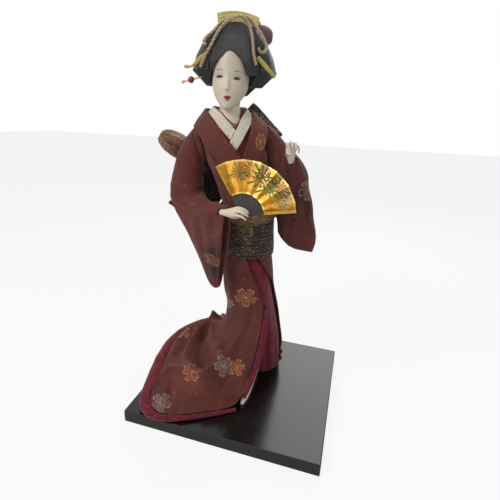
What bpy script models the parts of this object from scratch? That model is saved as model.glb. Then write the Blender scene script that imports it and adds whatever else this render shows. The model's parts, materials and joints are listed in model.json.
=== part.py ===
"""Display doll in a trained kimono, standing turned on a black lacquered board and holding a folding fan.

Units are metres, +Z is up and the origin is the middle of the board's underside. The doll's pieces are modelled
in the doll's own frame: x runs to the doll's left hand, y runs to its back and z is the height above the board.
"""

import math

import bmesh
import bpy
import numpy as np
from mathutils import Vector
from mathutils.bvhtree import BVHTree

MM = 0.001
CLEAR = 0.35 * MM
MERGE = 0.0005 * MM
FLAT_ANGLE = math.radians(0.6)

# Board
BOARD_WIDTH = 240 * MM
BOARD_DEPTH = 215 * MM
BOARD_THICK = 16 * MM
BOARD_EDGE = 1.2 * MM

# Where the doll stands on the board, and how far it is turned
DOLL_X = 2 * MM
DOLL_Y = 8 * MM
DOLL_TURN = math.radians(18)

# The dressed body: height, sideways place, place front to back, half width, half depth (millimetres)
BODY = (
    (0, 16, 31, 36, 29),
    (42, 15, 22, 34.5, 28),
    (96, 8, 11, 31, 27),
    (138, -2, 5, 31, 27),
    (186, -5, 2, 28, 26),
    (215, -6, 2, 26.5, 25),
    (246, -8, 2, 28, 26),
    (290, -17, 2, 36, 27),
    (318, -24, 2, 42, 25),
    (335, -29, 3, 39, 20),
    (345, -31, 4, 27, 15.5),
    (351, -31, 4, 18, 13.5),
)
SKIRT_TOP_Z = 192 * MM
CHEST_TURN = math.radians(12)
CHEST_TURN_FROM_Z = 235 * MM
CHEST_TURN_TO_Z = 300 * MM

# Kimono skirt and its train
KIMONO_THICK = 1.5 * MM
KNEE_Z = 112 * MM
OVERLAP_DROP = 60 * MM
SKIRT_COLUMNS = 24
SKIRT_UPPER_POINTS = 5
SKIRT_LOWER_POINTS = 9
HEM_COLUMNS = 21
# Hem: sideways place, place front to back, height of its top, half width (millimetres), from the front corner round
HEM = (
    (-14, -71, 5, 2.6),
    (-42, -79, 6, 2.8),
    (-69, -85, 7, 3.2),
    (-97, -89, 8.5, 4),
    (-116, -86, 11, 6.5),
    (-127, -76, 15, 10),
    (-125, -58, 19, 12),
    (-122, -36, 24, 12.5),
    (-120, -12, 30, 12.5),
    (-115, 14, 36, 12.5),
    (-105, 42, 40, 12.5),
    (-86, 66, 42, 12.5),
    (-60, 82, 43, 12.5),
    (-33, 88, 43, 12),
    (-5, 86, 40, 11),
    (20, 80, 33, 9),
    (38, 70, 25, 7),
    (50, 56, 18, 5),
    (54, 44, 12, 3.5),
)
# Folds of the train, seen from above: height, half width, and the line they follow (millimetres)
FOLDS = (
    (8, 9, ((-34, 76), (-62, 64), (-84, 46), (-96, 18), (-100, -4))),
    (10, 8, ((-50, 34), (-70, 24), (-79, -6), (-80, -26))),
    (-9, 8, ((-60, 22), (-55, -12), (-57, -30))),
    (10, 8, ((-36, 64), (-48, 34), (-50, 2), (-41, -26))),
    (9, 8, ((-98, -34), (-81, -38), (-54, -52), (-30, -60), (-16, -60))),
    (8, 8, ((-14, -32), (-34, -38), (-50, -54))),
    (-6, 6, ((-96, -50), (-91, -80))),
)
UNDER_SKIRT_GAP = 0.4 * MM
UNDER_SKIRT_OUT = -1.6 * MM
UNDER_SKIRT_THICK = 4.5 * MM
FRONT_EDGE_HALF = 4.6 * MM
FRONT_EDGE_POINTS = 12
HEM_FLOOR = 0.35 * MM

# Upper clothes
OBI_BOTTOM_Z = 187 * MM
OBI_TOP_Z = 246 * MM
OBI_THICK = 3 * MM
COLLAR_WIDTH = 19 * MM
COLLAR_THICK = 2.0 * MM
COLLAR_LIFT = 3.1 * MM
WHITE_WIDTH = 10.5 * MM
WHITE_THICK = 1.4 * MM
WHITE_LIFT = 1.2 * MM
RED_RADIUS = 0.7 * MM
RED_LIFT = 1.15 * MM
BODICE_BOTTOM_Z = 193.2 * MM
BODICE_TOP_Z = 347 * MM
BODICE_OUT = 2.1 * MM
BODICE_OUT_TOP = -0.6 * MM
SCARF_HALF_THICK = 2.3 * MM
SCARF_HALF_HEIGHT = 9 * MM
TAB_HALF_THICK = 1.1 * MM
PIPING_RADIUS = 0.9 * MM
SLEEVE_WALL = 2.2 * MM

# Stuffed core, wires and feet
CORE_SHARE = 0.68
CORE_BOTTOM_Z = 140 * MM
CORE_TOP_Z = 326 * MM
WIRE_RADIUS = 1.5 * MM
WIRE_SINK = 10 * MM
WIRE_TOP_Z = 178 * MM
ARM_RADIUS = 3.2 * MM
ARM_PIN_RADIUS = 1.2 * MM
ANKLE_LEFT = (15, 11)
ANKLE_RIGHT = (-3, 19)
# Middle lines of the arms, from inside the core to the palm (millimetres)
ARM_PATH_RIGHT = ((-40, 2, 318), (-62, 3, 312), (-79, 0, 288), (-82, -9, 261), (-67, -26, 246.5), (-50, -41, 246),
                  (-38, -51.5, 247.5), (-30, -57.5, 248.5))
ARM_PATH_LEFT = ((-6, 2, 316), (14, 4, 318), (32, 3, 308), (46, 1, 294), (51, -6, 284), (48, -14, 281),
                 (43, -18, 290), (38, -21.5, 307))
ARM_ROOM = 4.6 * MM
# Where the room for each arm ends outside its sleeve, and its radius there (millimetres)
CUFF_RIGHT = (-24, -62, 249, 4.6)
CUFF_LEFT = (35, -27, 313, 9)

# Head
HEAD_X = -30.8 * MM
HEAD_TURN = math.radians(-7)
HEAD_ROLL = math.radians(3.5)
HEAD_COLUMNS = 18
# Head rings: height, place front to back, half width, half depth (millimetres)
HEAD = (
    (350.8, -18.5, 2.5, 2.2),
    (353, -15.5, 6.8, 5.8),
    (356.5, -12, 10.6, 9.8),
    (360.5, -8, 13.8, 14.2),
    (364.5, -5, 16.4, 17.8),
    (368.5, -3, 18.3, 20.2),
    (372.5, -1.5, 19.5, 21.8),
    (376.5, -0.5, 20.1, 22.8),
    (380.5, 0.3, 20.4, 23.5),
    (386, 1.2, 20.7, 24.2),
    (393, 2, 20.8, 24.7),
    (403, 2.6, 19.8, 24.1),
    (413, 2.9, 15.8, 19.6),
    (421, 3, 7.5, 9.5),
)
# Neck rings: height, sideways place, place front to back, half width, half depth (millimetres)
NECK = (
    (312, -29, 1, 6.5, 6.5),
    (328, -29, 0, 6.5, 6.5),
    (330, -28, -2, 15, 13),
    (338, -29, -3, 15, 14.2),
    (345, -30.5, -1, 13, 12.5),
    (354, -31, 0.5, 11.6, 11.6),
    (372, -31, 1, 11.4, 12),
)

# Hair: height, half width, half depth of the wig (millimetres), about its own middle
HAIR_X = -26.5 * MM
HAIR_Y = 9 * MM
HAIR = (
    (375, 33, 24),
    (378.5, 41, 28),
    (384, 45, 30.5),
    (391, 46, 31.5),
    (399, 43.5, 31),
    (408, 39.5, 30),
    (417, 34, 28),
    (426, 26.5, 24),
    (433, 18, 18),
    (437.5, 8, 9),
)
HAIR_INNER_SHARE = 0.55
FRONT_HAIR_ANGLE = math.radians(39)
BACK_HAIR_ANGLE = math.radians(122)
HAIR_PARTING = math.radians(1.2)
HAIR_ROUNDING = 2.6 * MM
FRONT_HAIR_Z = 396 * MM
WING_TOP_Z = 433 * MM
BACK_HAIR_DROP = 11 * MM
BUN = (-17, 36, 430)
BUN_HALF_LENGTH = 20 * MM
BUN_HALF_DEPTH = 18.5 * MM
BUN_HALF_HEIGHT = 18 * MM
RIBBON_HALF_LENGTH = 32 * MM
RIBBON_HALF_DEPTH = 14 * MM
RIBBON_HALF_HEIGHT = 15.5 * MM

# Hair ornaments
COMB_THICK = 2.2 * MM
COMB_Y = 7 * MM
CORD_RADIUS = 1.75 * MM
CORD_POINTS = 28
CORD_TOP_Z = 430 * MM
PIN_SQUASH = 0.34
PIN_ROD_RADIUS = 0.7 * MM
KNOB_RADIUS = 1.9 * MM
BEAD_RADIUS = 3.7 * MM
BEAD_CENTRE = (-72.5, -2, 379.0)
BEAD_ROD_FROM = (-60, 0, 382.7)
BEAD_ROD_TO = (-82, -3.5, 376.2)

# Fan
FAN_PIVOT = (-14, -62, 249)
FAN_RADIUS = 55.5 * MM
FAN_LEAF_INNER = 21.5 * MM
FAN_FIRST_ANGLE = math.radians(5)
FAN_LAST_ANGLE = math.radians(120)
FAN_LEAN = math.radians(10)
FAN_PANELS = 12
FAN_PLEAT = 2.8 * MM
FAN_PAPER = 0.6 * MM
FAN_HUB_RADIUS = 4.5 * MM
FAN_RIB_THICK = 0.9 * MM
FAN_RIB_TIP = 27 * MM
GUARD_HALF_WIDTH = 1.8 * MM
GUARD_THICK = 1.1 * MM
RIVET_RADIUS = 1.1 * MM
RIVET_HEAD_RADIUS = 2.2 * MM
RIVET_HEAD = 0.8 * MM

# Bow at the back: where its loops cross, how far it is turned, and its two loops
BOW_PLACE = (-40, 30, 279)
BOW_TURN = math.radians(14)
BOW_SLOPE = math.radians(48.5)
BOW_REACH_UP = 86 * MM
BOW_REACH_DOWN = 72 * MM
BOW_HALF_WIDTH = 27 * MM
BOW_HALF_THICK = 5 * MM
BOW_WAIST_SHARE = 0.5
ROLL_SLOPE = math.radians(-30)
ROLL_REACH = 84 * MM
ROLL_RADIUS = 16.4 * MM
ROLL_WAIST_RADIUS = 9 * MM
ROLL_BACK = 16 * MM
KNOT_THICK = 2.8 * MM
KNOT_HALF_WIDTH = 10 * MM
KNOT_HALF_HEIGHT = 17 * MM
KNOT_DEPTH_FRONT = 7 * MM
KNOT_DEPTH_BACK = 26 * MM

FINISHES = {
    "lacquer": ((0.008, 0.008, 0.010), 0.28, 0.0),
    "steel": ((0.35, 0.35, 0.36), 0.4, 1.0),
    "straw": ((0.55, 0.43, 0.24), 0.95, 0.0),
    "skin": ((0.83, 0.77, 0.66), 0.5, 0.0),
    "hair": ((0.02, 0.022, 0.026), 0.4, 0.0),
    "kimono": ((0.17, 0.045, 0.035), 0.85, 0.0),
    "crimson": ((0.27, 0.012, 0.035), 0.75, 0.0),
    "white_silk": ((0.72, 0.66, 0.58), 0.8, 0.0),
    "obi": ((0.05, 0.035, 0.028), 0.6, 0.0),
    "obi_copper": ((0.30, 0.13, 0.07), 0.5, 0.0),
    "scarf": ((0.28, 0.19, 0.09), 0.6, 0.0),
    "gold": ((0.75, 0.45, 0.06), 0.3, 1.0),
    "black_wood": ((0.02, 0.018, 0.015), 0.45, 0.0),
    "comb": ((0.52, 0.43, 0.08), 0.35, 0.0),
    "cord": ((0.55, 0.40, 0.28), 0.6, 0.0),
    "coral": ((0.35, 0.02, 0.02), 0.3, 0.0),
    "purple_silk": ((0.13, 0.035, 0.055), 0.7, 0.0),
}


# The plain shape of each piece, before its neighbours cut into it
FORMS = {}


def clear_scene():
    """Removes what the startup scene holds."""
    for old in list(bpy.data.objects):
        bpy.data.objects.remove(old, do_unlink=True)


def make_finish(name):
    """The Principled material of one finish."""
    colour, roughness, metallic = FINISHES[name]
    made = bpy.data.materials.get(name)
    if made is None:
        made = bpy.data.materials.new(name)
        made.use_nodes = True
        shader = made.node_tree.nodes["Principled BSDF"]
        shader.inputs["Base Color"].default_value = (*colour, 1.0)
        shader.inputs["Roughness"].default_value = roughness
        shader.inputs["Metallic"].default_value = metallic
        made.diffuse_color = (*colour, 1.0)
    return made


def place(name, mesh, finish_name, parent):
    """An object for the mesh, with its finish."""
    mesh.materials.clear()
    mesh.materials.append(make_finish(finish_name))
    mesh.shade_smooth()
    mesh.set_sharp_from_angle(angle=math.radians(50))
    made = bpy.data.objects.new(name, mesh)
    bpy.context.scene.collection.objects.link(made)
    made.parent = parent
    FORMS[name] = mesh.copy()
    return made


def mesh_of(bm, name):
    """The mesh of a closed bmesh, with its faces pointing out."""
    bmesh.ops.recalc_face_normals(bm, faces=bm.faces)
    mesh = bpy.data.meshes.new(name)
    bm.to_mesh(mesh)
    bm.free()
    return mesh


def through(table, at):
    """The values of a smooth curve through the table's rows, whose first column is where each row stands."""
    rows = np.asarray(table, float)
    stops, values = rows[:, 0], rows[:, 1:]
    slopes = np.gradient(values, stops, axis=0)
    spots = np.clip(np.atleast_1d(np.asarray(at, float)), stops[0], stops[-1])
    k = np.clip(np.searchsorted(stops, spots) - 1, 0, len(stops) - 2)
    step = (stops[k + 1] - stops[k])[:, None]
    u = ((spots - stops[k]) / step[:, 0])[:, None]
    curve = values[k] * (2 * u**3 - 3 * u**2 + 1) + values[k + 1] * (3 * u**2 - 2 * u**3)
    curve = curve + step * (slopes[k] * (u**3 - 2 * u**2 + u) + slopes[k + 1] * (u**3 - u**2))
    return curve if np.ndim(at) else curve[0]


def curve_through(points, count):
    """So many points along a smooth curve through the given ones, evenly by length."""
    points = np.asarray(points, float)
    lengths = np.concatenate([[0], np.cumsum(np.linalg.norm(np.diff(points[:, :3], axis=0), axis=1))])
    fine = through(np.column_stack([lengths, points]), np.linspace(0, lengths[-1], 12 * count))
    run = np.concatenate([[0], np.cumsum(np.linalg.norm(np.diff(fine[:, :3], axis=0), axis=1))])
    wanted = np.linspace(0, run[-1], count)
    return np.column_stack([np.interp(wanted, run, fine[:, k]) for k in range(fine.shape[1])])


def unit(vectors):
    """The vectors at length one."""
    vectors = np.asarray(vectors, float)
    return vectors / np.maximum(np.linalg.norm(vectors, axis=-1, keepdims=True), 1e-12)


def loft(name, rings, joined=False):
    """A closed solid through rings of as many points each, capped at both ends or joined end to end."""
    bm = bmesh.new()
    loops = [[bm.verts.new(point) for point in ring] for ring in rings]
    following = loops[1:] + loops[:1] if joined else loops[1:]
    for loop, after in zip(loops, following):
        for k in range(len(loop)):
            n = (k + 1) % len(loop)
            bm.faces.new((loop[k], loop[n], after[n], after[k]))
    if not joined:
        bm.faces.new(loops[0])
        bm.faces.new(loops[-1])
    bmesh.ops.triangulate(bm, faces=bm.faces)
    return mesh_of(bm, name)


def sheet(name, grid, thickness):
    """Cloth of even thickness whose outer side passes through the grid of points."""
    grid = np.asarray(grid)
    normals = unit(np.cross(np.gradient(grid, axis=0), np.gradient(grid, axis=1)))
    rows, columns = grid.shape[:2]
    bm = bmesh.new()
    sides = [[[bm.verts.new(point) for point in row] for row in side] for side in (grid, grid - normals * thickness)]
    for i in range(rows - 1):
        for j in range(columns - 1):
            one_way = np.linalg.norm(grid[i, j] - grid[i + 1, j + 1])
            other_way = np.linalg.norm(grid[i + 1, j] - grid[i, j + 1])
            for side in sides:
                a, b, c, d = side[i][j], side[i + 1][j], side[i + 1][j + 1], side[i][j + 1]
                halves = ((a, b, c), (a, c, d)) if one_way <= other_way else ((a, b, d), (b, c, d))
                for corners in halves:
                    bm.faces.new(corners)
    border = [(i, 0) for i in range(rows)] + [(rows - 1, j) for j in range(1, columns)]
    border += [(i, columns - 1) for i in range(rows - 2, -1, -1)] + [(0, j) for j in range(columns - 2, 0, -1)]
    outer, inner = sides
    for (i, j), (k, m) in zip(border, border[1:] + border[:1]):
        bm.faces.new((outer[i][j], outer[k][m], inner[k][m], inner[i][j]))
    bmesh.ops.triangulate(bm, faces=bm.faces)
    return mesh_of(bm, name)


def tube(name, path, radii, sides, squash=1.0, flat_axis=(0, 0, 1)):
    """A round or flattened bar along the path; squash is its share of radius along flat_axis."""
    path = np.asarray(path, float)
    radii = np.broadcast_to(radii, len(path))
    tangents = unit(np.gradient(path, axis=0))
    side = unit(np.cross(tangents, flat_axis))
    if squash == 1.0:
        for k in range(1, len(side)):
            side[k] = unit(side[k - 1] - tangents[k] * np.dot(side[k - 1], tangents[k]))
    flat = np.cross(side, tangents)
    angles = np.linspace(0, 2 * math.pi, sides, endpoint=False)
    rings = [
        centre + radius * (np.outer(np.cos(angles), across) + squash * np.outer(np.sin(angles), up))
        for centre, radius, across, up in zip(path, radii, side, flat)
    ]
    return loft(name, rings)


def plate(name, outline, low, high, to_point):
    """A flat outline given some depth: to_point turns (a, b, depth) into a place."""
    bm = bmesh.new()
    face = bm.faces.new([bm.verts.new(to_point(a, b, low)) for a, b in outline])
    grown = bmesh.ops.extrude_face_region(bm, geom=[face])
    moved = [item for item in grown["geom"] if isinstance(item, bmesh.types.BMVert)]
    shift = Vector(to_point(0, 0, high)) - Vector(to_point(0, 0, low))
    bmesh.ops.translate(bm, verts=moved, vec=shift)
    return mesh_of(bm, name)


def largest_piece(mesh):
    """The mesh with only its largest connected piece left."""
    bm = bmesh.new()
    bm.from_mesh(mesh)
    left = set(bm.verts)
    pieces = []
    while left:
        found, queue = set(), [left.pop()]
        while queue:
            vert = queue.pop()
            found.add(vert)
            for edge in vert.link_edges:
                other = edge.other_vert(vert)
                if other in left:
                    left.discard(other)
                    queue.append(other)
        pieces.append(found)
    pieces.sort(key=lambda piece: sum(face.calc_area() for vert in piece for face in vert.link_faces))
    spare = [vert for piece in pieces[:-1] for vert in piece]
    bmesh.ops.delete(bm, geom=spare, context="VERTS")
    bm.to_mesh(mesh)
    bm.free()
    return mesh


def carve(piece, *names, gap=CLEAR):
    """Cuts from the piece the room that the named neighbours take, with a gap all round them."""
    for name in names:
        room = FORMS[name].copy()
        offsets = [vert.normal * gap * 1.2 for vert in room.vertices]
        for vert, offset in zip(room.vertices, offsets):
            vert.co += offset
        cutter = bpy.data.objects.new("cutter", room)
        bpy.context.scene.collection.objects.link(cutter)
        cutter.parent = piece.parent
        cutter.hide_render = True
        cutter.display_type = "WIRE"
        if piece.parent is None:
            cutter.parent = bpy.data.objects["doll_frame"]
        cut = piece.modifiers.new("room", "BOOLEAN")
        cut.operation = "DIFFERENCE"
        cut.solver = "EXACT"
        cut.object = cutter
        settle(piece)
        bpy.data.objects.remove(cutter, do_unlink=True)
    return piece


def unite(piece, *others):
    """Joins the others to the piece as one solid and removes them."""
    for other in others:
        join = piece.modifiers.new("join", "BOOLEAN")
        join.operation = "UNION"
        join.solver = "EXACT"
        join.object = other
        settle(piece)
        bpy.data.objects.remove(other, do_unlink=True)
    return piece


def settle(piece):
    """Applies the piece's modifiers, leaves out loose scraps and splits its faces into triangles."""
    bpy.context.view_layer.update()
    evaluated = piece.evaluated_get(bpy.context.evaluated_depsgraph_get())
    mesh = largest_piece(bpy.data.meshes.new_from_object(evaluated))
    bm = bmesh.new()
    bm.from_mesh(mesh)
    bmesh.ops.remove_doubles(bm, verts=bm.verts, dist=MERGE)
    bmesh.ops.dissolve_limit(bm, angle_limit=FLAT_ANGLE, verts=bm.verts, edges=bm.edges)
    bmesh.ops.triangulate(bm, faces=bm.faces)
    bm.to_mesh(mesh)
    bm.free()
    piece.modifiers.clear()
    piece.data = mesh


def surface_of(*pieces):
    """Ray tests against the pieces, in the doll's frame."""
    verts, faces = [], []
    for piece in pieces:
        start = len(verts)
        verts += [vert.co.copy() for vert in piece.data.vertices]
        faces += [[start + k for k in face.vertices] for face in piece.data.polygons]
    return BVHTree.FromPolygons(verts, faces)


def laid_on(surface, points, lift, front=-0.2):
    """The (x, z) points put on the front of a surface, lifted off it towards the viewer."""
    places = []
    for x, z in points:
        hit, normal, _, _ = surface.ray_cast(Vector((x, front, z)), Vector((0, 1, 0)))
        if hit is None:
            hit, normal, _, _ = surface.find_nearest(Vector((x, 0, z)))
        places.append(hit + normal * lift if normal.y < 0 else hit + Vector((0, -lift, 0)))
    return np.array([tuple(p) for p in places])


def mm(points):
    """The points in metres, as an array."""
    return np.asarray(points, float) * MM


def body_row(z):
    """Sideways place, place front to back, half width and half depth of the body at a height."""
    return through(BODY, z / MM) * MM


def chest_turn(z):
    """How far the body is turned at a height."""
    share = np.clip((z - CHEST_TURN_FROM_Z) / (CHEST_TURN_TO_Z - CHEST_TURN_FROM_Z), 0, 1)
    return CHEST_TURN * share * share * (3 - 2 * share)


def body_point(z, angle, out=0.0):
    """A point off the body's surface; angle 0 is the front and grows towards the doll's right."""
    x, y, wide, deep = body_row(z)
    across, back = -(wide + out) * math.sin(angle), -(deep + out) * math.cos(angle)
    turn = chest_turn(z)
    return np.array([
        x + across * math.cos(turn) - back * math.sin(turn),
        y + across * math.sin(turn) + back * math.cos(turn),
        z,
    ])


def body_angle(x, z):
    """The angle at which the front of the body passes a sideways place at a height."""
    angles = np.linspace(math.radians(85), math.radians(-85), 40)
    return float(np.interp(x, [body_point(z, a)[0] for a in angles], angles))


def body_normal(z, angle):
    """The direction straight off the body's surface."""
    z = min(max(z, 1 * MM), (BODY[-1][0] - 1) * MM)
    round_it = body_point(z, angle + 0.02) - body_point(z, angle - 0.02)
    up_it = body_point(z + 1 * MM, angle) - body_point(z - 1 * MM, angle)
    return unit(np.cross(round_it, up_it)) * -1


def onto_body(point, out):
    """The point put on the body at its own height and lifted straight off the surface."""
    x, y, wide, deep = body_row(point[2])
    turn = chest_turn(point[2])
    dx, dy = point[0] - x, point[1] - y
    across = dx * math.cos(turn) + dy * math.sin(turn)
    back = -dx * math.sin(turn) + dy * math.cos(turn)
    angle = math.atan2(-across / wide, -back / deep)
    return body_point(point[2], angle) + body_normal(point[2], angle) * out


def body_solid(name, bottom, top, out=0.0, share=1.0, rings=12, sides=28, out_top=None):
    """A solid that follows the body between two heights, standing off it by out, or from out to out_top."""
    angles = np.linspace(0, 2 * math.pi, sides, endpoint=False)
    outs = np.linspace(out, out if out_top is None else out_top, rings)
    made = []
    for z, off in zip(np.linspace(bottom, top, rings), outs):
        centre = np.array([*body_row(z)[:2], z])
        ring = np.array([body_point(z, a, off) for a in angles])
        made.append(centre + (ring - centre) * np.array([share, share, 1]))
    return loft(name, made)


def board(bare):
    """Lacquered board with blind holes for the two leg wires."""
    bm = bmesh.new()
    bmesh.ops.create_cube(bm, size=1)
    bmesh.ops.scale(bm, verts=bm.verts, vec=(BOARD_WIDTH, BOARD_DEPTH, BOARD_THICK))
    bmesh.ops.translate(bm, verts=bm.verts, vec=(0, 0, BOARD_THICK / 2))
    made = place("base_board", mesh_of(bm, "base_board"), "lacquer", None)
    edge = made.modifiers.new("eased_edge", "BEVEL")
    edge.width = BOARD_EDGE
    edge.segments = 2
    settle(made)
    return carve(made, *bare)


def leg_wire(name, ankle, doll):
    """Wire that runs from the board up through the foot into the stuffed core."""
    x, y, _, _ = body_row(WIRE_TOP_Z)
    foot = mm((*ankle, 0))
    top = np.array([x + (foot[0] - x) * 0.35, y, WIRE_TOP_Z])
    path = [foot + (0, 0, -WIRE_SINK), foot + (0, 0, 12 * MM), foot + (top - foot) * 0.5, top]
    return place(name, tube(name, curve_through(path, 5), WIRE_RADIUS, 6, flat_axis=(0, 1, 0)), "steel", doll)


def foot(name, ankle, toe, doll):
    """White foot: a low toe that rises to the ankle."""
    heel_end = mm(ankle)
    toe_end = mm(toe)
    along = unit(toe_end - heel_end)
    across = np.array([-along[1], along[0], 0])
    length = np.linalg.norm(toe_end - heel_end)
    # Share of the length from the heel, half width and height (millimetres)
    rows = ((-0.13, 3.0, 7), (-0.08, 4.6, 11), (0.03, 5.4, 13), (0.3, 5.2, 9.5), (0.6, 6.0, 8), (0.85, 6.0, 7.5),
            (1.0, 2.4, 4.5))
    rings = []
    for share, half, height in rows:
        centre = heel_end + along * length * share
        angles = np.linspace(0, 2 * math.pi, 8, endpoint=False)
        ring = centre + np.outer(np.cos(angles) * half * MM, across)
        rise = np.where(np.sin(angles) < 0, 0.4 + 0.4 * np.sin(angles), 0.4 + 0.6 * np.sin(angles))
        ring[:, 2] = HEM_FLOOR + height * MM * rise
        rings.append(ring)
    return place(name, loft(name, rings), "skin", doll)


def arm(name, path, doll):
    """Arm of wound paper on a wire that stands out bare at the hand."""
    points = curve_through(mm(path), 12)
    radii = np.full(len(points), ARM_RADIUS)
    radii[-3:] = (ARM_RADIUS * 0.85, ARM_PIN_RADIUS, ARM_PIN_RADIUS)
    return place(name, tube(name, points, radii, 6, flat_axis=(0.3, 1, 0.2)), "straw", doll)


def face_relief(x, z):
    """How far the face stands out of its plain oval: x across the face, z height, both in millimetres."""
    def bump(height, cx, cz, wx, wz):
        return height * np.exp(-(((x - cx) / wx) ** 2) - ((z - cz) / wz) ** 2)

    nose = bump(2.6, 0, 371.5, 2.6, 3.4) + bump(1.5, 0, 377.5, 2.2, 5.0)
    lips = bump(1.1, 0, 362.0, 3.6, 2.6)
    chin = bump(1.0, 0, 354.5, 4.5, 3.0)
    eyes = sum(bump(-1.3, side * 9.0, 380.0, 4.6, 3.0) for side in (-1, 1))
    brows = sum(bump(0.5, side * 9.0, 386.5, 6.0, 2.4) for side in (-1, 1))
    cheeks = sum(bump(0.8, side * 10.5, 368.5, 5.5, 6.0) for side in (-1, 1))
    return nose + lips + chin + eyes + brows + cheeks


def turn_head(points):
    """Head points turned and tipped about the top of the neck."""
    pivot = np.array([HEAD_X, 0, NECK[-1][0] * MM])
    points = np.asarray(points) - pivot
    x = points[:, 0] * math.cos(HEAD_TURN) - points[:, 1] * math.sin(HEAD_TURN)
    y = points[:, 0] * math.sin(HEAD_TURN) + points[:, 1] * math.cos(HEAD_TURN)
    z = points[:, 2] * math.cos(HEAD_ROLL) - x * math.sin(HEAD_ROLL)
    x = x * math.cos(HEAD_ROLL) + points[:, 2] * math.sin(HEAD_ROLL)
    return np.column_stack([x, y, z]) + pivot


def head(doll):
    """Face, skull and neck as one casting, with a plug that goes into the core."""
    turns = np.linspace(0, 1, HEAD_COLUMNS, endpoint=False)
    angles = 2 * math.pi * turns - 0.55 * np.sin(2 * math.pi * turns)
    rings = []
    for z, y, half_width, half_depth in HEAD:
        across = -half_width * np.sin(angles)
        relief = face_relief(across, z) * np.clip(np.cos(angles), 0, 1) * min(1, half_depth / 8)
        back = y - (half_depth + relief) * np.cos(angles)
        ring = np.column_stack([across * MM + HEAD_X, back * MM, np.full(len(angles), z * MM)])
        rings.append(turn_head(ring))
    skull = place("head", loft("head", rings), "skin", doll)
    neck_rings = []
    around = np.linspace(0, 2 * math.pi, 10, endpoint=False)
    for z, x, y, half_width, half_depth in NECK:
        neck_rings.append(mm(np.column_stack([
            x + half_width * np.cos(around), y + half_depth * np.sin(around), np.full(len(around), z)])))
    neck = place("neck", loft("neck", neck_rings), "skin", doll)
    return unite(skull, neck)


def hair_point(z, angle, out=0.0):
    """A point on the outside of the wig, about its own upright middle line."""
    half_width, half_depth = through(HAIR, z / MM) * MM
    return np.array([
        HAIR_X - (half_width + out) * math.sin(angle),
        HAIR_Y - (half_depth + out) * math.cos(angle),
        z,
    ])


def over_hair(surface, x, z, lift, back=0.0):
    """The place in front of the wig for a sideways place and a height, lifted straight off the hair."""
    level = min(z, CORD_TOP_Z)
    half_width = through(HAIR, level / MM)[0] * MM
    angle = -math.asin(np.clip((x - HAIR_X) / half_width, -0.98, 0.98))
    round_it = hair_point(level, angle + 0.02) - hair_point(level, angle - 0.02)
    up_it = hair_point(level + 1 * MM, angle) - hair_point(level - 1 * MM, angle)
    hits = [surface.ray_cast(Vector((x + step, -0.2, level)), Vector((0, 1, 0)))[0] for step in (-1.2 * MM, 0, 1.2 * MM)]
    found = [hit.y for hit in hits if hit is not None]
    place_on = np.array([x, min(found) if found else hair_point(level, angle)[1], level])
    return place_on - unit(np.cross(round_it, up_it)) * lift + (0, back, z - level)


def hair_lobe(name, first, last, bottom, top, doll, drop=0.0, rings=5, columns=5):
    """One puffed part of the wig between two angles, rounded where it meets the next."""
    made = []
    for level in np.linspace(0, 1, rings):
        z = bottom + (top - bottom) * level
        outer, inner = [], []
        for share in np.linspace(0, 1, columns):
            angle = first + (last - first) * share
            edge = HAIR_ROUNDING * (abs(2 * share - 1) ** 6 + (1 - level) ** 8 * 0.8)
            point = hair_point(z, angle, -edge)
            point[2] -= drop * math.sin(math.pi * share) * (1 - level)
            middle = np.array([HAIR_X, HAIR_Y, z])
            outer.append(point)
            inner.append(middle + (point - middle) * np.array([HAIR_INNER_SHARE, HAIR_INNER_SHARE, 1]))
        made.append(outer + inner[::-1])
    return place(name, loft(name, made), "hair", doll)


def face_opening(doll):
    """Cutter in the shape of the hairline: two lobes and a peak over the brow, straight down beside the cheeks."""
    outline = mm((
        (-50.5, 340), (-50.5, 378), (-50, 386), (-47.5, 392), (-43, 398), (-37, 402.5), (-33, 402.6), (-30.3, 400),
        (-28, 401.8), (-24.5, 401.5), (-19.5, 397.5), (-15, 390), (-12.5, 383), (-11, 372), (-11, 340),
    ))
    made = plate("face_opening", outline, -60 * MM, 3 * MM, lambda a, b, depth: (a, depth, b))
    cutter = place("face_opening", made, "hair", doll)
    cutter.hide_render = True
    cutter.display_type = "WIRE"
    return cutter


def bolster(name, centre, half_length, half_depth, half_height, finish_name, doll, lean=0.0, power=2.6):
    """A padded roll lying sideways, full in the middle and rounded at its ends."""
    rings = []
    angles = np.linspace(0, 2 * math.pi, 10, endpoint=False)
    for share in (-1, -0.9, -0.6, 0.6, 0.9, 1):
        full = max(1 - abs(share) ** power, 0.05) ** (1 / power)
        rings.append(np.column_stack([
            np.full(len(angles), share * half_length),
            half_depth * full * np.cos(angles),
            half_height * full * np.sin(angles) + share * lean,
        ]) + mm(centre))
    return place(name, loft(name, rings), finish_name, doll)


def comb(doll):
    """Flat crescent comb with a curved top edge, standing in the hair."""
    left, right, foot_z = -46 * MM, -2 * MM, 424 * MM
    top = [(left + (right - left) * s, (443.2 + 15.5 * s * (1 - s) - 2.2 * s) * MM) for s in np.linspace(0, 1, 9)]
    outline = [(right - 2 * MM, foot_z), *top[::-1], (left + 2 * MM, foot_z)]
    mesh = plate("comb", outline, COMB_Y, COMB_Y + COMB_THICK, lambda a, b, depth: (a, depth, b))
    made = place("comb", mesh, "comb", doll)
    return made


def cord(name, points, doll):
    """Twisted cord of the hair, held on it all the way."""
    route = bpy.data.curves.new(name, "CURVE")
    route.dimensions = "3D"
    route.bevel_depth = CORD_RADIUS
    route.bevel_resolution = 2
    route.use_fill_caps = True
    spline = route.splines.new("POLY")
    spline.points.add(len(points) - 1)
    for place_on, point in zip(spline.points, points):
        place_on.co = (*point, 1)
    route.materials.append(make_finish("cord"))
    made = bpy.data.objects.new(name, route)
    bpy.context.scene.collection.objects.link(made)
    made.parent = doll
    return made


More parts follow.
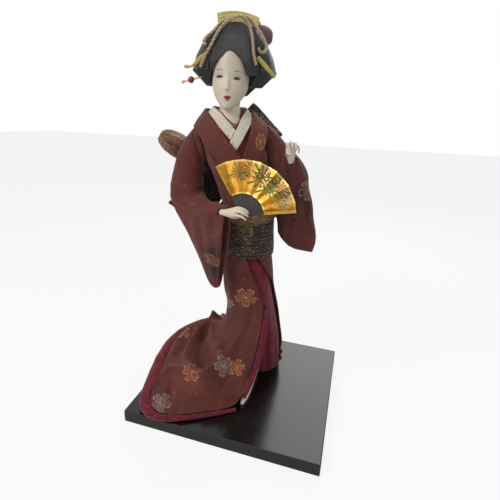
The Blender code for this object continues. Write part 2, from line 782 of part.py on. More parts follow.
def hair_pin(name, path, half_widths, doll):
    """Flat pin pushed into the hair, with its wide end on the hair and a small knob or a square end outside it."""
    rows = curve_through(np.column_stack([path, mm(half_widths)]), 2 * len(path) - 1)
    return place(name, tube(name, rows[:, :3], rows[:, 3], 6, squash=PIN_SQUASH, flat_axis=(-0.1, 1, 0.3)), "comb", doll)


def bead_pin(doll):
    """Thin rod with a small gold knob, pushed into the hair, and the round coral bead that it carries."""
    start, end = mm(BEAD_ROD_FROM), mm(BEAD_ROD_TO)
    stops = np.array([0, 0.5, 0.88, 0.9, 0.95, 1.0])
    radii = np.array([1, 1, 1, 0, 0, 0]) * PIN_ROD_RADIUS
    radii[3:] = KNOB_RADIUS * np.array([0.7, 1, 0.6])
    path = start + (end - start) * stops[:, None]
    place("bead_rod", tube("bead_rod", path, radii, 6, flat_axis=(0.1, 1, 0.1)), "gold", doll)
    bm = bmesh.new()
    bmesh.ops.create_uvsphere(bm, u_segments=8, v_segments=6, radius=BEAD_RADIUS)
    bmesh.ops.translate(bm, verts=bm.verts, vec=mm(BEAD_CENTRE))
    return place("coral_bead", mesh_of(bm, "coral_bead"), "coral", doll)


def hem_rows(count):
    """Places along the hem: x, y, top height and half width, in metres, evenly by length."""
    rows = np.asarray(HEM, float)
    rows = np.column_stack([rows[:, :2], np.zeros(len(rows)), rows[:, 2:]])
    found = curve_through(rows * MM, count)
    return found[:, [0, 1, 3, 4]]


def fold_height(x, y):
    """How far the folds lift the train at a place."""
    lift = 0.0
    for height, half, line in FOLDS:
        line = curve_through(mm([(*p, 0) for p in line]), 24)
        nearest = np.min(np.hypot(line[:, 0] - x, line[:, 1] - y))
        lift += height * MM * math.exp(-((nearest / (half * MM)) ** 2))
    return lift


def front_edge(z):
    """Sideways place of the kimono's front edge above the knee."""
    rows = ((KNEE_Z / MM, 16.5), (146, 8), (167, -1), (SKIRT_TOP_Z / MM, -9.5))
    return float(through(rows, z / MM)[0]) * MM


def skirt_grid(columns, rows_up, rows_down):
    """The kimono skirt from its front edge round the doll's right side and back, out over the train to the hem."""
    hem = hem_rows(columns)
    middle = np.array([-35 * MM, 5 * MM])
    grid = np.zeros((columns, rows_up + rows_down, 3))
    lift = UNDER_SKIRT_GAP + KIMONO_THICK + CLEAR
    for i in range(columns):
        s = i / (columns - 1)
        knee = KNEE_Z - 62 * MM * max(0, s - 0.6) / 0.4
        for j in range(rows_up):
            z = SKIRT_TOP_Z - OVERLAP_DROP * j / (rows_up - 2)
            if j == rows_up - 1:
                z = (SKIRT_TOP_Z - OVERLAP_DROP + knee) / 2
            first = body_angle(front_edge(max(z, KNEE_Z)), z)
            last = math.radians(342 - 84 * min(1, (SKIRT_TOP_Z - z) / OVERLAP_DROP) ** 1.2)
            loose = 1.5 * MM * max(0, s - 0.7) / 0.3 if j else 0
            grid[i, j] = body_point(z, first + (last - first) * s, lift + loose)
        first = body_angle(front_edge(KNEE_Z), knee)
        last = math.radians(258)
        start = body_point(knee, first + (last - first) * s, lift)
        x, y, top, half = hem[i]
        inward = unit(middle - (x, y))
        end = np.array([x + inward[0] * half * 0.6, y + inward[1] * half * 0.6, top * 0.93 + 1.2 * MM])
        reach = np.linalg.norm(end[:2] - start[:2])
        leave = start + (0, 0, -(knee - end[2]) * (0.62 - 0.3 * math.exp(-((s / 0.08) ** 2))))
        close = body_point(leave[2], first + (last - first) * s, lift + 2 * MM)
        leave += (close - leave) * np.clip((s - 0.5) / 0.25, 0, 1)
        arrive = end + (*(unit(start[:2] - end[:2]) * reach * 0.55), 3 * MM + reach * 0.10)
        for j in range(rows_down):
            u = j / (rows_down - 1)
            point = (start * (1 - u) ** 3 + leave * 3 * u * (1 - u) ** 2
                     + arrive * 3 * u * u * (1 - u) + end * u**3)
            calm = math.sin(math.pi * min(1, u * 1.02)) ** 0.5 * min(1, s / 0.1)
            point[2] += fold_height(point[0], point[1]) * calm
            grid[i, rows_up + j] = point
    return grid


def hem_roll(doll):
    """Padded crimson hem that lies on the board round the train and stands higher at the back."""
    rows = hem_rows(HEM_COLUMNS)
    tangents = unit(np.gradient(rows[:, :2], axis=0))
    angles = np.linspace(0, 2 * math.pi, 8, endpoint=False)
    rings = []
    for (x, y, top, half), (tx, ty) in zip(rows, tangents):
        across, tall = np.cos(angles), np.sin(angles)
        shape = np.sign(across) * np.abs(across) ** 0.8
        height = HEM_FLOOR + (top - HEM_FLOOR) * 0.5 * (1 + np.sign(tall) * np.abs(tall) ** 0.8)
        rings.append(np.column_stack([x - ty * half * shape, y + tx * half * shape, height]))
    return place("train_hem_roll", loft("train_hem_roll", rings), "crimson", doll)


def front_edge_roll(grid, doll):
    """Padded crimson edge along the front of the kimono, from the knee down to the train's front corner."""
    edge = grid[0, SKIRT_UPPER_POINTS:-1]
    away = edge - grid[1, SKIRT_UPPER_POINTS:-1]
    rows = curve_through(np.column_stack([edge, unit(away)]), FRONT_EDGE_POINTS)
    share = np.linspace(0, 1, FRONT_EDGE_POINTS)
    radii = FRONT_EDGE_HALF * (0.35 + 0.65 * np.sin(math.pi * (0.12 + 0.76 * share)) ** 0.8)
    tangents = unit(np.gradient(rows[:, :3], axis=0))
    away = unit(rows[:, 3:] - tangents * np.sum(rows[:, 3:] * tangents, axis=1)[:, None])
    path = rows[:, :3] + away * (radii[:, None] + 2 * CLEAR)
    mesh = tube("front_edge_roll", path, radii, 8, squash=0.6, flat_axis=np.cross(tangents, away))
    return place("front_edge_roll", mesh, "crimson", doll)


def under_skirt(doll):
    """Crimson under-skirt: an open tube from the waist to the board."""
    angles = np.linspace(0, 2 * math.pi, 16, endpoint=False)
    rings = [[body_point(z, a, UNDER_SKIRT_OUT) for a in angles] for z in np.linspace(HEM_FLOOR, SKIRT_TOP_Z, 6)]
    rings += [[body_point(z, a, -UNDER_SKIRT_THICK) for a in angles] for z in np.linspace(SKIRT_TOP_Z, HEM_FLOOR, 6)]
    return place("under_skirt", loft("under_skirt", rings, joined=True), "crimson", doll)


def obi(doll):
    """Wide sash round the waist, a closed band with soft creases round it."""
    angles = np.linspace(0, 2 * math.pi, 20, endpoint=False)
    inner = UNDER_SKIRT_GAP + KIMONO_THICK + 2 * CLEAR + 0.3 * MM
    rings = []
    heights = np.linspace(OBI_BOTTOM_Z, OBI_TOP_Z, 5)
    for k, z in enumerate(heights):
        crease = 0.5 * MM * (k % 2) if 0 < k < 4 else -0.8 * MM
        rings.append([body_point(z, a, inner + OBI_THICK + crease) for a in angles])
    for z in heights[::-2]:
        rings.append([body_point(z, a, inner) for a in angles])
    return place("obi_band", loft("obi_band", rings, joined=True), "obi", doll)


def strip(name, path, width, lift, thickness, finish_name, doll, count=11):
    """A flat band laid on the body along a path of (height, angle) places; above the body it stands up."""
    places = [(*body_point(z * MM, a), *body_normal(z * MM, a)) for z, a in path]
    spots = curve_through(places, count)
    tangents = unit(np.gradient(spots[:, :3], axis=0))
    grid = []
    for spot, tangent in zip(spots, tangents):
        outward = unit(spot[3:] * (1, 1, 0.6))
        side = unit(np.cross(outward, tangent))
        line = []
        for share in (-1, -0.33, 0.33, 1):
            point = spot[:3] + side * width * share / 2
            held = np.clip((BODY[-1][0] * MM - 1 * MM - point[2]) / (5 * MM), 0, 1)
            free = point + outward * (lift + thickness)
            line.append(onto_body(point, lift + thickness) * held + free * (1 - held))
        grid.append(line)
    grid = np.array(grid)
    normals = np.cross(np.gradient(grid, axis=0), np.gradient(grid, axis=1))
    if np.mean(np.sum(normals * (grid - np.mean(grid, axis=(0, 1)) - (0, 0, 0.02)), axis=2)) < 0:
        grid = grid[:, ::-1]
    return place(name, sheet(name, grid, thickness), finish_name, doll)


def front_spots(*points):
    """(height, angle) places for (sideways, height) points on the front of the body, in millimetres."""
    return [(z, body_angle(x * MM, z * MM)) for x, z in points]


def sleeve_rings(rows, inset=0.0, sides=10):
    """Rings of a sleeve: outer edge, inner edge, side, half thickness, share of it at the outer edge (millimetres)."""
    angles = np.linspace(0, 2 * math.pi, sides, endpoint=False)
    along = np.sign(np.cos(angles)) * np.abs(np.cos(angles)) ** 0.85
    across = np.sign(np.sin(angles)) * np.abs(np.sin(angles)) ** 0.7
    rings = []
    for outer, inner, side, half, share in rows:
        outer, inner = mm(outer), mm(inner)
        long_axis = (outer - inner) / 2
        reach = np.linalg.norm(long_axis)
        long_axis = long_axis * (reach - inset) / reach
        width = np.maximum(half * MM * (1 + (share - 1) * (1 + along) / 2) - inset, 0.4 * MM)
        rings.append((outer + inner) / 2 + np.outer(along, long_axis) + np.outer(across * width, unit(side)))
    return rings


def sleeve(name, rows, arm_path, cuff, doll, hollow_from=None, mouth_shift=None):
    """A kimono sleeve with its hanging bag: room for the arm all through it, and hollow from the mouth inwards."""
    made = place(name, loft(name, sleeve_rings(rows)), "kimono", doll)
    rooms = []
    if hollow_from is not None:
        inner = sleeve_rings(rows[hollow_from:], SLEEVE_WALL)
        inner.append(np.asarray(inner[-1]) + mm(mouth_shift))
        rooms.append(place("sleeve_hollow", loft("sleeve_hollow", inner), "kimono", doll))
    path = np.concatenate([curve_through(mm(arm_path), 12), [mm(cuff[:3])]])
    radii = ARM_ROOM + (cuff[3] * MM - ARM_ROOM) * np.clip(np.linspace(-8, 4, 13) / 4, 0, 1)
    rooms.append(place("arm_room", tube("arm_room", path, radii, 6, flat_axis=(0.3, 1, 0.2)), "kimono", doll))
    for room in rooms:
        carve(made, room.name, gap=0)
        bpy.data.objects.remove(room, do_unlink=True)
    return made


SLEEVE_RIGHT = (
    ((-60, 3, 342), (-48, 4, 317), (0, -1, 0), 14, 1.0),
    ((-75, 2, 328), (-53, 3, 303), (0, -1, 0), 17, 1.0),
    ((-87, 1, 312), (-57, 2, 294), (0, -1, 0), 18, 1.0),
    ((-93, -1, 290), (-59, -1, 281), (-0.1, -1, 0), 18, 1.0),
    ((-99, -3, 266), (-59, -5, 269), (-0.25, -1, 0), 17, 0.95),
    ((-96, -6, 246), (-60, -14, 262), (-0.45, -0.9, 0.1), 15, 0.8),
    ((-86, -11, 229), (-56, -25, 259.5), (-0.65, -0.75, 0.15), 13.5, 0.65),
    ((-77, -17, 213), (-51, -33, 258.5), (-0.68, -0.7, 0.15), 12.5, 0.5),
    ((-69, -22, 198), (-46, -40, 258), (-0.68, -0.7, 0.15), 12, 0.45),
    ((-61, -26, 180), (-41, -46, 257.5), (-0.68, -0.7, 0.15), 11.5, 0.4),
    ((-54, -30, 160), (-36, -50, 257), (-0.68, -0.7, 0.15), 11, 0.4),
    ((-46, -33, 149), (-32, -53, 256.5), (-0.68, -0.7, 0.15), 10, 0.4),
    ((-38, -37, 152), (-29, -56, 256), (-0.68, -0.7, 0.15), 9, 0.45),
)
SLEEVE_LEFT = (
    ((14, 7, 338), (3, 5, 318), (0.2, 1, 0), 12, 1.0),
    ((30, 7, 322), (10, 4, 301), (0.15, 1, 0), 15, 1.0),
    ((46, 4, 309), (16, 1, 289), (0, 1, 0), 17, 0.9),
    ((58, 1, 296), (19, -2, 279), (-0.1, 1, 0), 18, 0.8),
    ((65, -1, 282), (21, -5, 268), (-0.15, 1, 0), 18, 0.7),
    ((63, -3, 271), (23, -8, 256), (-0.15, 1, 0), 17, 0.6),
    ((71, -3, 255), (25, -10, 244), (-0.15, 1, 0), 15.5, 0.6),
    ((72, -3, 236), (26.5, -11, 232), (-0.15, 1, 0), 13.5, 0.55),
    ((77, -2, 217), (28, -11, 221), (-0.15, 1, 0), 11, 0.55),
    ((81, -1, 201), (30, -10, 210), (-0.15, 1, 0), 8, 0.6),
    ((76, -2, 188), (44, -8, 197), (-0.15, 1, 0), 4.5, 0.7),
)


def finger(name, path, radii, doll):
    """One finger or thumb, thinner to its tip."""
    points = curve_through(np.column_stack([mm(path), mm(radii)]), 4)
    return place(name, tube(name, points[:, :3], points[:, 3], 5, flat_axis=(0.1, 0.2, 1)), "skin", doll)


def hand(name, palm, across, fingers, doll):
    """A hand: wrist and palm (place, half width, half thickness), with its fingers joined to it."""
    points = curve_through(mm(palm), 5)
    tangents = unit(np.gradient(points[:, :3], axis=0))
    angles = np.linspace(0, 2 * math.pi, 8, endpoint=False)
    rings = []
    for point, tangent in zip(points, tangents):
        side = unit(np.cross(tangent, across))
        wide = np.cross(side, tangent)
        rings.append(point[:3] + point[3] * np.outer(np.cos(angles), wide) + point[4] * np.outer(np.sin(angles), side))
    made = place(name, loft(name, rings), "skin", doll)
    grown = [finger(f"{name}_finger_{k}", path, radii, doll) for k, (path, radii) in enumerate(fingers)]
    return unite(made, *grown)


def fan_point(angle, radius, depth):
    """A point of the fan, by its angle from the right, its distance from the rivet and its depth to the front."""
    out = radius * math.cos(angle), radius * math.sin(angle)
    return mm(FAN_PIVOT) + np.array([
        out[0],
        out[1] * math.sin(FAN_LEAN) - depth * math.cos(FAN_LEAN),
        out[1] * math.cos(FAN_LEAN) + depth * math.sin(FAN_LEAN),
    ])


def fan_sheet(name, inner, outer, depth, thickness, finish_name, doll):
    """One pleated sector of the fan: every other fold stands to the front, more so towards the rim."""
    folds = np.linspace(FAN_LAST_ANGLE, FAN_FIRST_ANGLE, FAN_PANELS + 1)
    grid = np.array([
        [fan_point(angle, radius, depth + FAN_PLEAT * (1 if k % 2 else -1) * radius / FAN_RADIUS)
         for radius in (inner, outer)]
        for k, angle in enumerate(folds)
    ])
    normals = np.cross(np.gradient(grid, axis=0), np.gradient(grid, axis=1))
    if np.mean(normals[..., 1]) > 0:
        grid = grid[:, ::-1]
    return place(name, sheet(name, grid, thickness), finish_name, doll)


def fan_bar(name, angle, depth, finish_name, doll):
    """Outer stick of the fan, from past the rivet to the rim."""
    across = np.array([-math.sin(angle), math.cos(angle)])
    along = np.array([math.cos(angle), math.sin(angle)])
    corners = []
    for reach, half in ((-3.4, 0.6), (0, 1), (FAN_RADIUS / MM, 0.8)):
        corners.append(along * reach * MM + across * half * GUARD_HALF_WIDTH)
    for reach, half in ((FAN_RADIUS / MM, 0.8), (0, 1), (-3.4, 0.6)):
        corners.append(along * reach * MM - across * half * GUARD_HALF_WIDTH)
    mesh = plate(name, corners, depth, depth + GUARD_THICK,
                 lambda a, b, d: fan_point(math.atan2(b, a), math.hypot(a, b), d))
    return place(name, mesh, finish_name, doll)


def fan_ribs(depth, doll):
    """Ribs of the fan, closed into one sector: a round hub, and a step at the tip of each rib."""
    folds = np.linspace(FAN_LAST_ANGLE, FAN_FIRST_ANGLE, FAN_PANELS + 1)
    outline = [(angle, FAN_RIB_TIP - (1.2 * MM if k % 2 else 0)) for k, angle in enumerate(folds)]
    for angle in np.linspace(FAN_FIRST_ANGLE - 0.9, FAN_LAST_ANGLE + 0.9 - 2 * math.pi, 7):
        outline.append((angle, FAN_HUB_RADIUS))
    corners = [(radius * math.cos(angle), radius * math.sin(angle)) for angle, radius in outline]
    mesh = plate("fan_ribs", corners, depth - FAN_RIB_THICK, depth,
                 lambda a, b, d: fan_point(math.atan2(b, a), math.hypot(a, b), d))
    return place("fan_ribs", mesh, "black_wood", doll)


def fan_rivet(back, front, doll):
    """Rivet with a flat head at each end."""
    depths = (back - RIVET_HEAD, back, back + 0.01 * MM, front - 0.01 * MM, front, front + RIVET_HEAD)
    radii = (RIVET_HEAD_RADIUS, RIVET_HEAD_RADIUS, RIVET_RADIUS, RIVET_RADIUS, RIVET_HEAD_RADIUS, RIVET_HEAD_RADIUS)
    mesh = tube("fan_rivet", [fan_point(0, 0, d) for d in depths], radii, 10, flat_axis=(0, 0.2, 1))
    return place("fan_rivet", mesh, "gold", doll)


def fan(doll):
    """Folding fan: pleated leaf, ribs behind it, two outer sticks and the rivet through them all."""
    fan_sheet("fan_leaf", FAN_LEAF_INNER, FAN_RADIUS, FAN_PAPER / 2, FAN_PAPER, "gold", doll)
    ribs_depth = -FAN_PAPER / 2 - FAN_PLEAT * FAN_RIB_TIP / FAN_RADIUS - CLEAR
    front = FAN_PAPER / 2 + CLEAR
    back = ribs_depth - FAN_RIB_THICK - CLEAR
    ribs = fan_ribs(ribs_depth, doll)
    left = fan_bar("fan_guard_left", FAN_FIRST_ANGLE, front, "black_wood", doll)
    right = fan_bar("fan_guard_right", FAN_LAST_ANGLE, back - GUARD_THICK, "black_wood", doll)
    fan_rivet(back - GUARD_THICK - CLEAR, front + GUARD_THICK + CLEAR, doll)
    for part in (ribs, right, left):
        carve(part, "fan_rivet")


def bow_point(along, up, back):
    """A point of the bow: along its own sideways line, up, and back from the doll."""
    return mm(BOW_PLACE) + np.array([
        along * math.cos(BOW_TURN) - back * math.sin(BOW_TURN),
        along * math.sin(BOW_TURN) + back * math.cos(BOW_TURN),
        up,
    ])


def bow_panel(doll):
    """Flat folded loop of the sash that stands slantwise at the back, gathered at the knot."""
    rings = []
    corners = np.linspace(0, 2 * math.pi, 12, endpoint=False) + math.pi / 12
    for share in (-1, -0.97, -0.7, -0.35, -0.15, 0, 0.15, 0.35, 0.7, 1):
        reach = share * (BOW_REACH_UP if share > 0 else BOW_REACH_DOWN)
        gather = math.exp(-((share / 0.3) ** 2))
        half = BOW_HALF_WIDTH * (1 - (1 - BOW_WAIST_SHARE) * gather)
        thick = BOW_HALF_THICK * (1 + 0.25 * gather)
        if share <= -0.97:
            half, thick = half * 0.93, thick * (0.45 if share == -1 else 0.85)
        if share == 1:
            thick *= 0.7
        ring = []
        for angle in corners:
            a = np.sign(math.cos(angle)) * abs(math.cos(angle)) ** 0.35 * half
            b = np.sign(math.sin(angle)) * abs(math.sin(angle)) ** 0.6 * thick
            crease = 0.9 * MM * gather * math.cos(5 * math.pi * a / half)
            ring.append(bow_point(reach * math.cos(BOW_SLOPE) - a * math.sin(BOW_SLOPE),
                                  reach * math.sin(BOW_SLOPE) + a * math.cos(BOW_SLOPE),
                                  b + crease * np.sign(b)))
        rings.append(ring)
    return place("obi_bow_panel", loft("obi_bow_panel", rings), "obi", doll)


def bow_roll(doll):
    """Puffed loop of the sash that crosses the flat one, full at its ends and gathered at the knot."""
    rings = []
    angles = np.linspace(0, 2 * math.pi, 12, endpoint=False)
    for share in (-1, -0.975, -0.88, -0.6, -0.25, 0, 0.25, 0.6, 0.88, 0.975, 1):
        reach = share * ROLL_REACH
        full = max(1 - abs(share) ** 12, 0.12) ** 0.5
        radius = full * (ROLL_RADIUS - (ROLL_RADIUS - ROLL_WAIST_RADIUS) * math.exp(-((share / 0.38) ** 2)))
        back = ROLL_BACK - 6 * MM * share * share
        ring = []
        for angle in angles:
            swell = radius * (1 + 0.035 * math.cos(6 * angle))
            a, b = swell * math.cos(angle), swell * math.sin(angle)
            ring.append(bow_point(reach * math.cos(ROLL_SLOPE) - a * math.sin(ROLL_SLOPE),
                                  reach * math.sin(ROLL_SLOPE) + a * math.cos(ROLL_SLOPE),
                                  back + b))
        rings.append(ring)
    return place("obi_bow_roll", loft("obi_bow_roll", rings), "obi_copper", doll)


def bow_knot(doll):
    """Band of the sash that goes round both loops of the bow at their crossing."""
    angles = np.linspace(0, 2 * math.pi, 12, endpoint=False)
    low, high = -KNOT_DEPTH_FRONT, KNOT_DEPTH_BACK
    middle, half_depth = (low + high) / 2, (high - low) / 2
    rings = []
    for side, out in ((-1, KNOT_THICK * 0.6), (-0.7, KNOT_THICK), (0.7, KNOT_THICK), (1, KNOT_THICK * 0.6),
                      (0.9, 0), (-0.9, 0)):
        rings.append([
            bow_point(side * KNOT_HALF_WIDTH,
                      (KNOT_HALF_HEIGHT + out) * np.sign(math.sin(a)) * abs(math.sin(a)) ** 0.7,
                      middle + (half_depth + out) * np.sign(math.cos(a)) * abs(math.cos(a)) ** 0.7)
            for a in angles
        ])
    return place("obi_knot", loft("obi_knot", rings, joined=True), "obi", doll)


def scarf(doll):
    """Bunched silk scarf that shows over the top of the sash and sags at its middle."""
    out = UNDER_SKIRT_GAP + KIMONO_THICK + 2 * CLEAR + 0.3 * MM + OBI_THICK + SCARF_HALF_THICK + 2.5 * CLEAR
    path, radii = [], []
    for share in np.linspace(-1, 1, 14):
        z = (242.5 - 7 * math.cos(0.5 * math.pi * share) ** 1.5 + 2.0 * max(0, -share)) * MM
        path.append(body_point(z, math.radians(-86) * share, out))
        radii.append(SCARF_HALF_HEIGHT * (0.62 + 0.3 * math.cos(0.5 * math.pi * share)
                                          + 0.09 * math.cos(11 * share)))
    tangents = unit(np.gradient(np.array(path), axis=0))
    angles = np.linspace(0, 2 * math.pi, 8, endpoint=False)
    rings = []
    for centre, radius, tangent in zip(path, radii, tangents):
        outward = unit(np.cross(tangent, (0, 0, 1)))
        rings.append([centre + outward * SCARF_HALF_THICK * math.cos(a)
                      + np.array([0, 0, radius * math.sin(a)]) for a in angles])
    return place("obi_scarf", loft("obi_scarf", rings), "scarf", doll)


def scarf_tab(doll):
    """Tucked end of the scarf that hangs in front of the sash."""
    out = UNDER_SKIRT_GAP + KIMONO_THICK + 2 * CLEAR + 0.3 * MM + OBI_THICK + TAB_HALF_THICK + 2.5 * CLEAR
    path = [body_point(z * MM, body_angle(x * MM, z * MM), out) for x, z in ((-7.5, 232), (-5.5, 226), (-4, 221), (-3, 216.5))]
    path = curve_through(np.column_stack([path, mm((2.2, 3.6, 3.3, 1.2))]), 7)
    mesh = tube("scarf_tab", path[:, :3], path[:, 3], 8, squash=TAB_HALF_THICK / (3.4 * MM), flat_axis=(0, 1, 0))
    return place("scarf_tab", mesh, "scarf", doll)


def piping(name, path, doll, radius=PIPING_RADIUS, count=16, finish_name="crimson"):
    """Thin padded cord along an edge."""
    return place(name, tube(name, curve_through(path, count), radius, 6, flat_axis=(0.3, 1, 0.1)), finish_name, doll)


def clothes_on_chest(head_piece, doll):
    """The collars, laid over each other round the neck, and the kimono's upper part beneath them."""
    form = place("form", body_solid("form", SKIRT_TOP_Z + CLEAR, BODY[-1][0] * MM, 0, rings=16, sides=36),
                 "kimono", doll)
    bare = surface_of(form, head_piece)
    red = piping("red_collar_edge",
                 laid_on(bare, mm(((-43.5, 349.5), (-36, 343.5), (-28.5, 337.8), (-23, 334.4), (-19.5, 340), (-16, 347.5))),
                         RED_LIFT), doll, RED_RADIUS, 10, "crimson")
    bpy.data.objects.remove(form, do_unlink=True)
    white_left = strip("white_collar_left", [
        (346.5, math.radians(-179)), (349, math.radians(-140)), (349, math.radians(-105)),
        *front_spots((-10, 346), (-15, 335), (-21.2, 322.5), (-27.7, 311.5))], WHITE_WIDTH, WHITE_LIFT, WHITE_THICK, "white_silk", doll)
    white_right = strip("white_collar_right", [
        (346.5, math.radians(179)), (349, math.radians(140)), (349, math.radians(105)),
        *front_spots((-46, 344.5), (-36.2, 334), (-24.2, 322), (-11.2, 307))], WHITE_WIDTH, WHITE_LIFT, WHITE_THICK, "white_silk", doll)
    carve(white_left, "neck", "red_collar_edge")
    carve(white_right, "neck", "red_collar_edge", "white_collar_left")
    left = strip("kimono_collar_left", [
        (338, math.radians(-179)), (341, math.radians(-140)), (342, math.radians(-105)), (343, math.radians(-70)),
        *front_spots((0.5, 340), (-1, 322), (-6, 302), (-14, 282), (-20, 264))], COLLAR_WIDTH, COLLAR_LIFT, COLLAR_THICK,
        "kimono", doll, count=12)
    right = strip("kimono_collar_right", [
        (338, math.radians(179)), (341, math.radians(140)), (342, math.radians(105)),
        *front_spots((-61, 338), (-46, 321), (-28, 299), (-14, 281))], COLLAR_WIDTH, COLLAR_LIFT, COLLAR_THICK,
        "kimono", doll, count=11)
    carve(left, "neck")
    carve(right, "neck", "kimono_collar_left")
    carve(red, "neck")
    carve(white_left, "kimono_collar_left")
    carve(white_right, "kimono_collar_right")


def head_dress(head_piece, doll):
    """The wig in its parts, the bun behind it and the ornaments."""
    comb(doll)
    opening = face_opening(doll)
    front = hair_lobe("hair_front", FRONT_HAIR_ANGLE - HAIR_PARTING, -FRONT_HAIR_ANGLE + HAIR_PARTING,
                      FRONT_HAIR_Z - 12 * MM, WING_TOP_Z, doll)
    right = hair_lobe("hair_wing_right", BACK_HAIR_ANGLE - HAIR_PARTING, FRONT_HAIR_ANGLE + HAIR_PARTING,
                      HAIR[0][0] * MM, WING_TOP_Z - 2 * MM, doll)
    left = hair_lobe("hair_wing_left", -FRONT_HAIR_ANGLE - HAIR_PARTING, -BACK_HAIR_ANGLE + HAIR_PARTING,
                     HAIR[0][0] * MM, WING_TOP_Z - 2 * MM, doll)
    back = hair_lobe("hair_back", 2 * math.pi - BACK_HAIR_ANGLE - HAIR_PARTING, BACK_HAIR_ANGLE + HAIR_PARTING,
                     HAIR[0][0] * MM, WING_TOP_Z - 1 * MM, doll, drop=BACK_HAIR_DROP)
    for lobe in (front, right, left):
        carve(lobe, "face_opening", "head", "comb")
    carve(back, "head")
    bpy.data.objects.remove(opening, do_unlink=True)
    ribbon = bolster("bun_ribbon", BUN, RIBBON_HALF_LENGTH, RIBBON_HALF_DEPTH, RIBBON_HALF_HEIGHT, "purple_silk", doll)
    loop = bolster("hair_bun", (BUN[0] - 1, BUN[1], BUN[2]), BUN_HALF_LENGTH, BUN_HALF_DEPTH, BUN_HALF_HEIGHT, "hair",
                   doll, power=4)
    carve(loop, "bun_ribbon", "hair_back", "hair_wing_left", "comb")
    carve(ribbon, "hair_back")

    lobes = surface_of(front, right, left)
    cord_lift = CORD_RADIUS + CLEAR
    long_route = ((-60.5, 390.5), (-55, 401.5), (-49.4, 410.4), (-44.8, 418.5), (-38.6, 427.5), (-30.4, 433.6),
                  (-21.5, 436.2), (-15.7, 432), (-11.9, 425), (-9.3, 412.5), (-8.3, 403.3), (-5.4, 393.6))
    cord("hair_cord", curve_through([over_hair(lobes, x * MM, z * MM, cord_lift) for x, z in long_route], CORD_POINTS),
         doll)
    looped_route = ((-53, 411.5, 0), (-56.3, 408.6, 0), (-59.5, 410.6, 0), (-56.5, 415.5, 0), (-50.8, 420.5, 0),
                    (-45.5, 425.2, 0), (-39.5, 431.8, 2), (-31, 436, 7), (-20, 438, 7.5), (-11.5, 435, 6), (-6.6, 429.5, 2),
                    (-3, 425, 0), (1, 418.5, 0), (4.2, 411.5, 0), (2.5, 406.2, 0), (-1.8, 405.5, 0), (-4.2, 409.5, 0))
    cord("hair_cord_loops", curve_through(
        [over_hair(lobes, x * MM, z * MM, cord_lift, back * MM) for x, z, back in looped_route], 2 * CORD_POINTS), doll)

    pin_lift = 0.6 * MM
    right_pin = [over_hair(lobes, -55 * MM, 404 * MM, -1.6 * MM)]
    right_pin += [over_hair(lobes, x * MM, z * MM, pin_lift) for x, z in ((-60.5, 399.3), (-66.5, 394.4))]
    right_pin += list(mm(((-72.5, -4, 391.2), (-76.5, -3.5, 391.2), (-79.5, -3.4, 391.2))))
    hair_pin("hairpin_right", right_pin, (1.8, 2.4, 2.1, 0.8, 2.0, 1.2), doll)
    left_pin = [over_hair(lobes, x * MM, z * MM, pin_lift) for x, z in ((-3.5, 401.5), (3.5, 395), (10, 389.6), (16, 385.8))]
    hair_pin("hairpin_left", left_pin, (1.9, 2.3, 2.1, 2.4), doll)
    carve(bead_pin(doll), "bead_rod", "hair_wing_right")
    carve(right, "hairpin_right", "bead_rod")
    carve(front, "hairpin_right", "hairpin_left")
    carve(left, "hairpin_left")


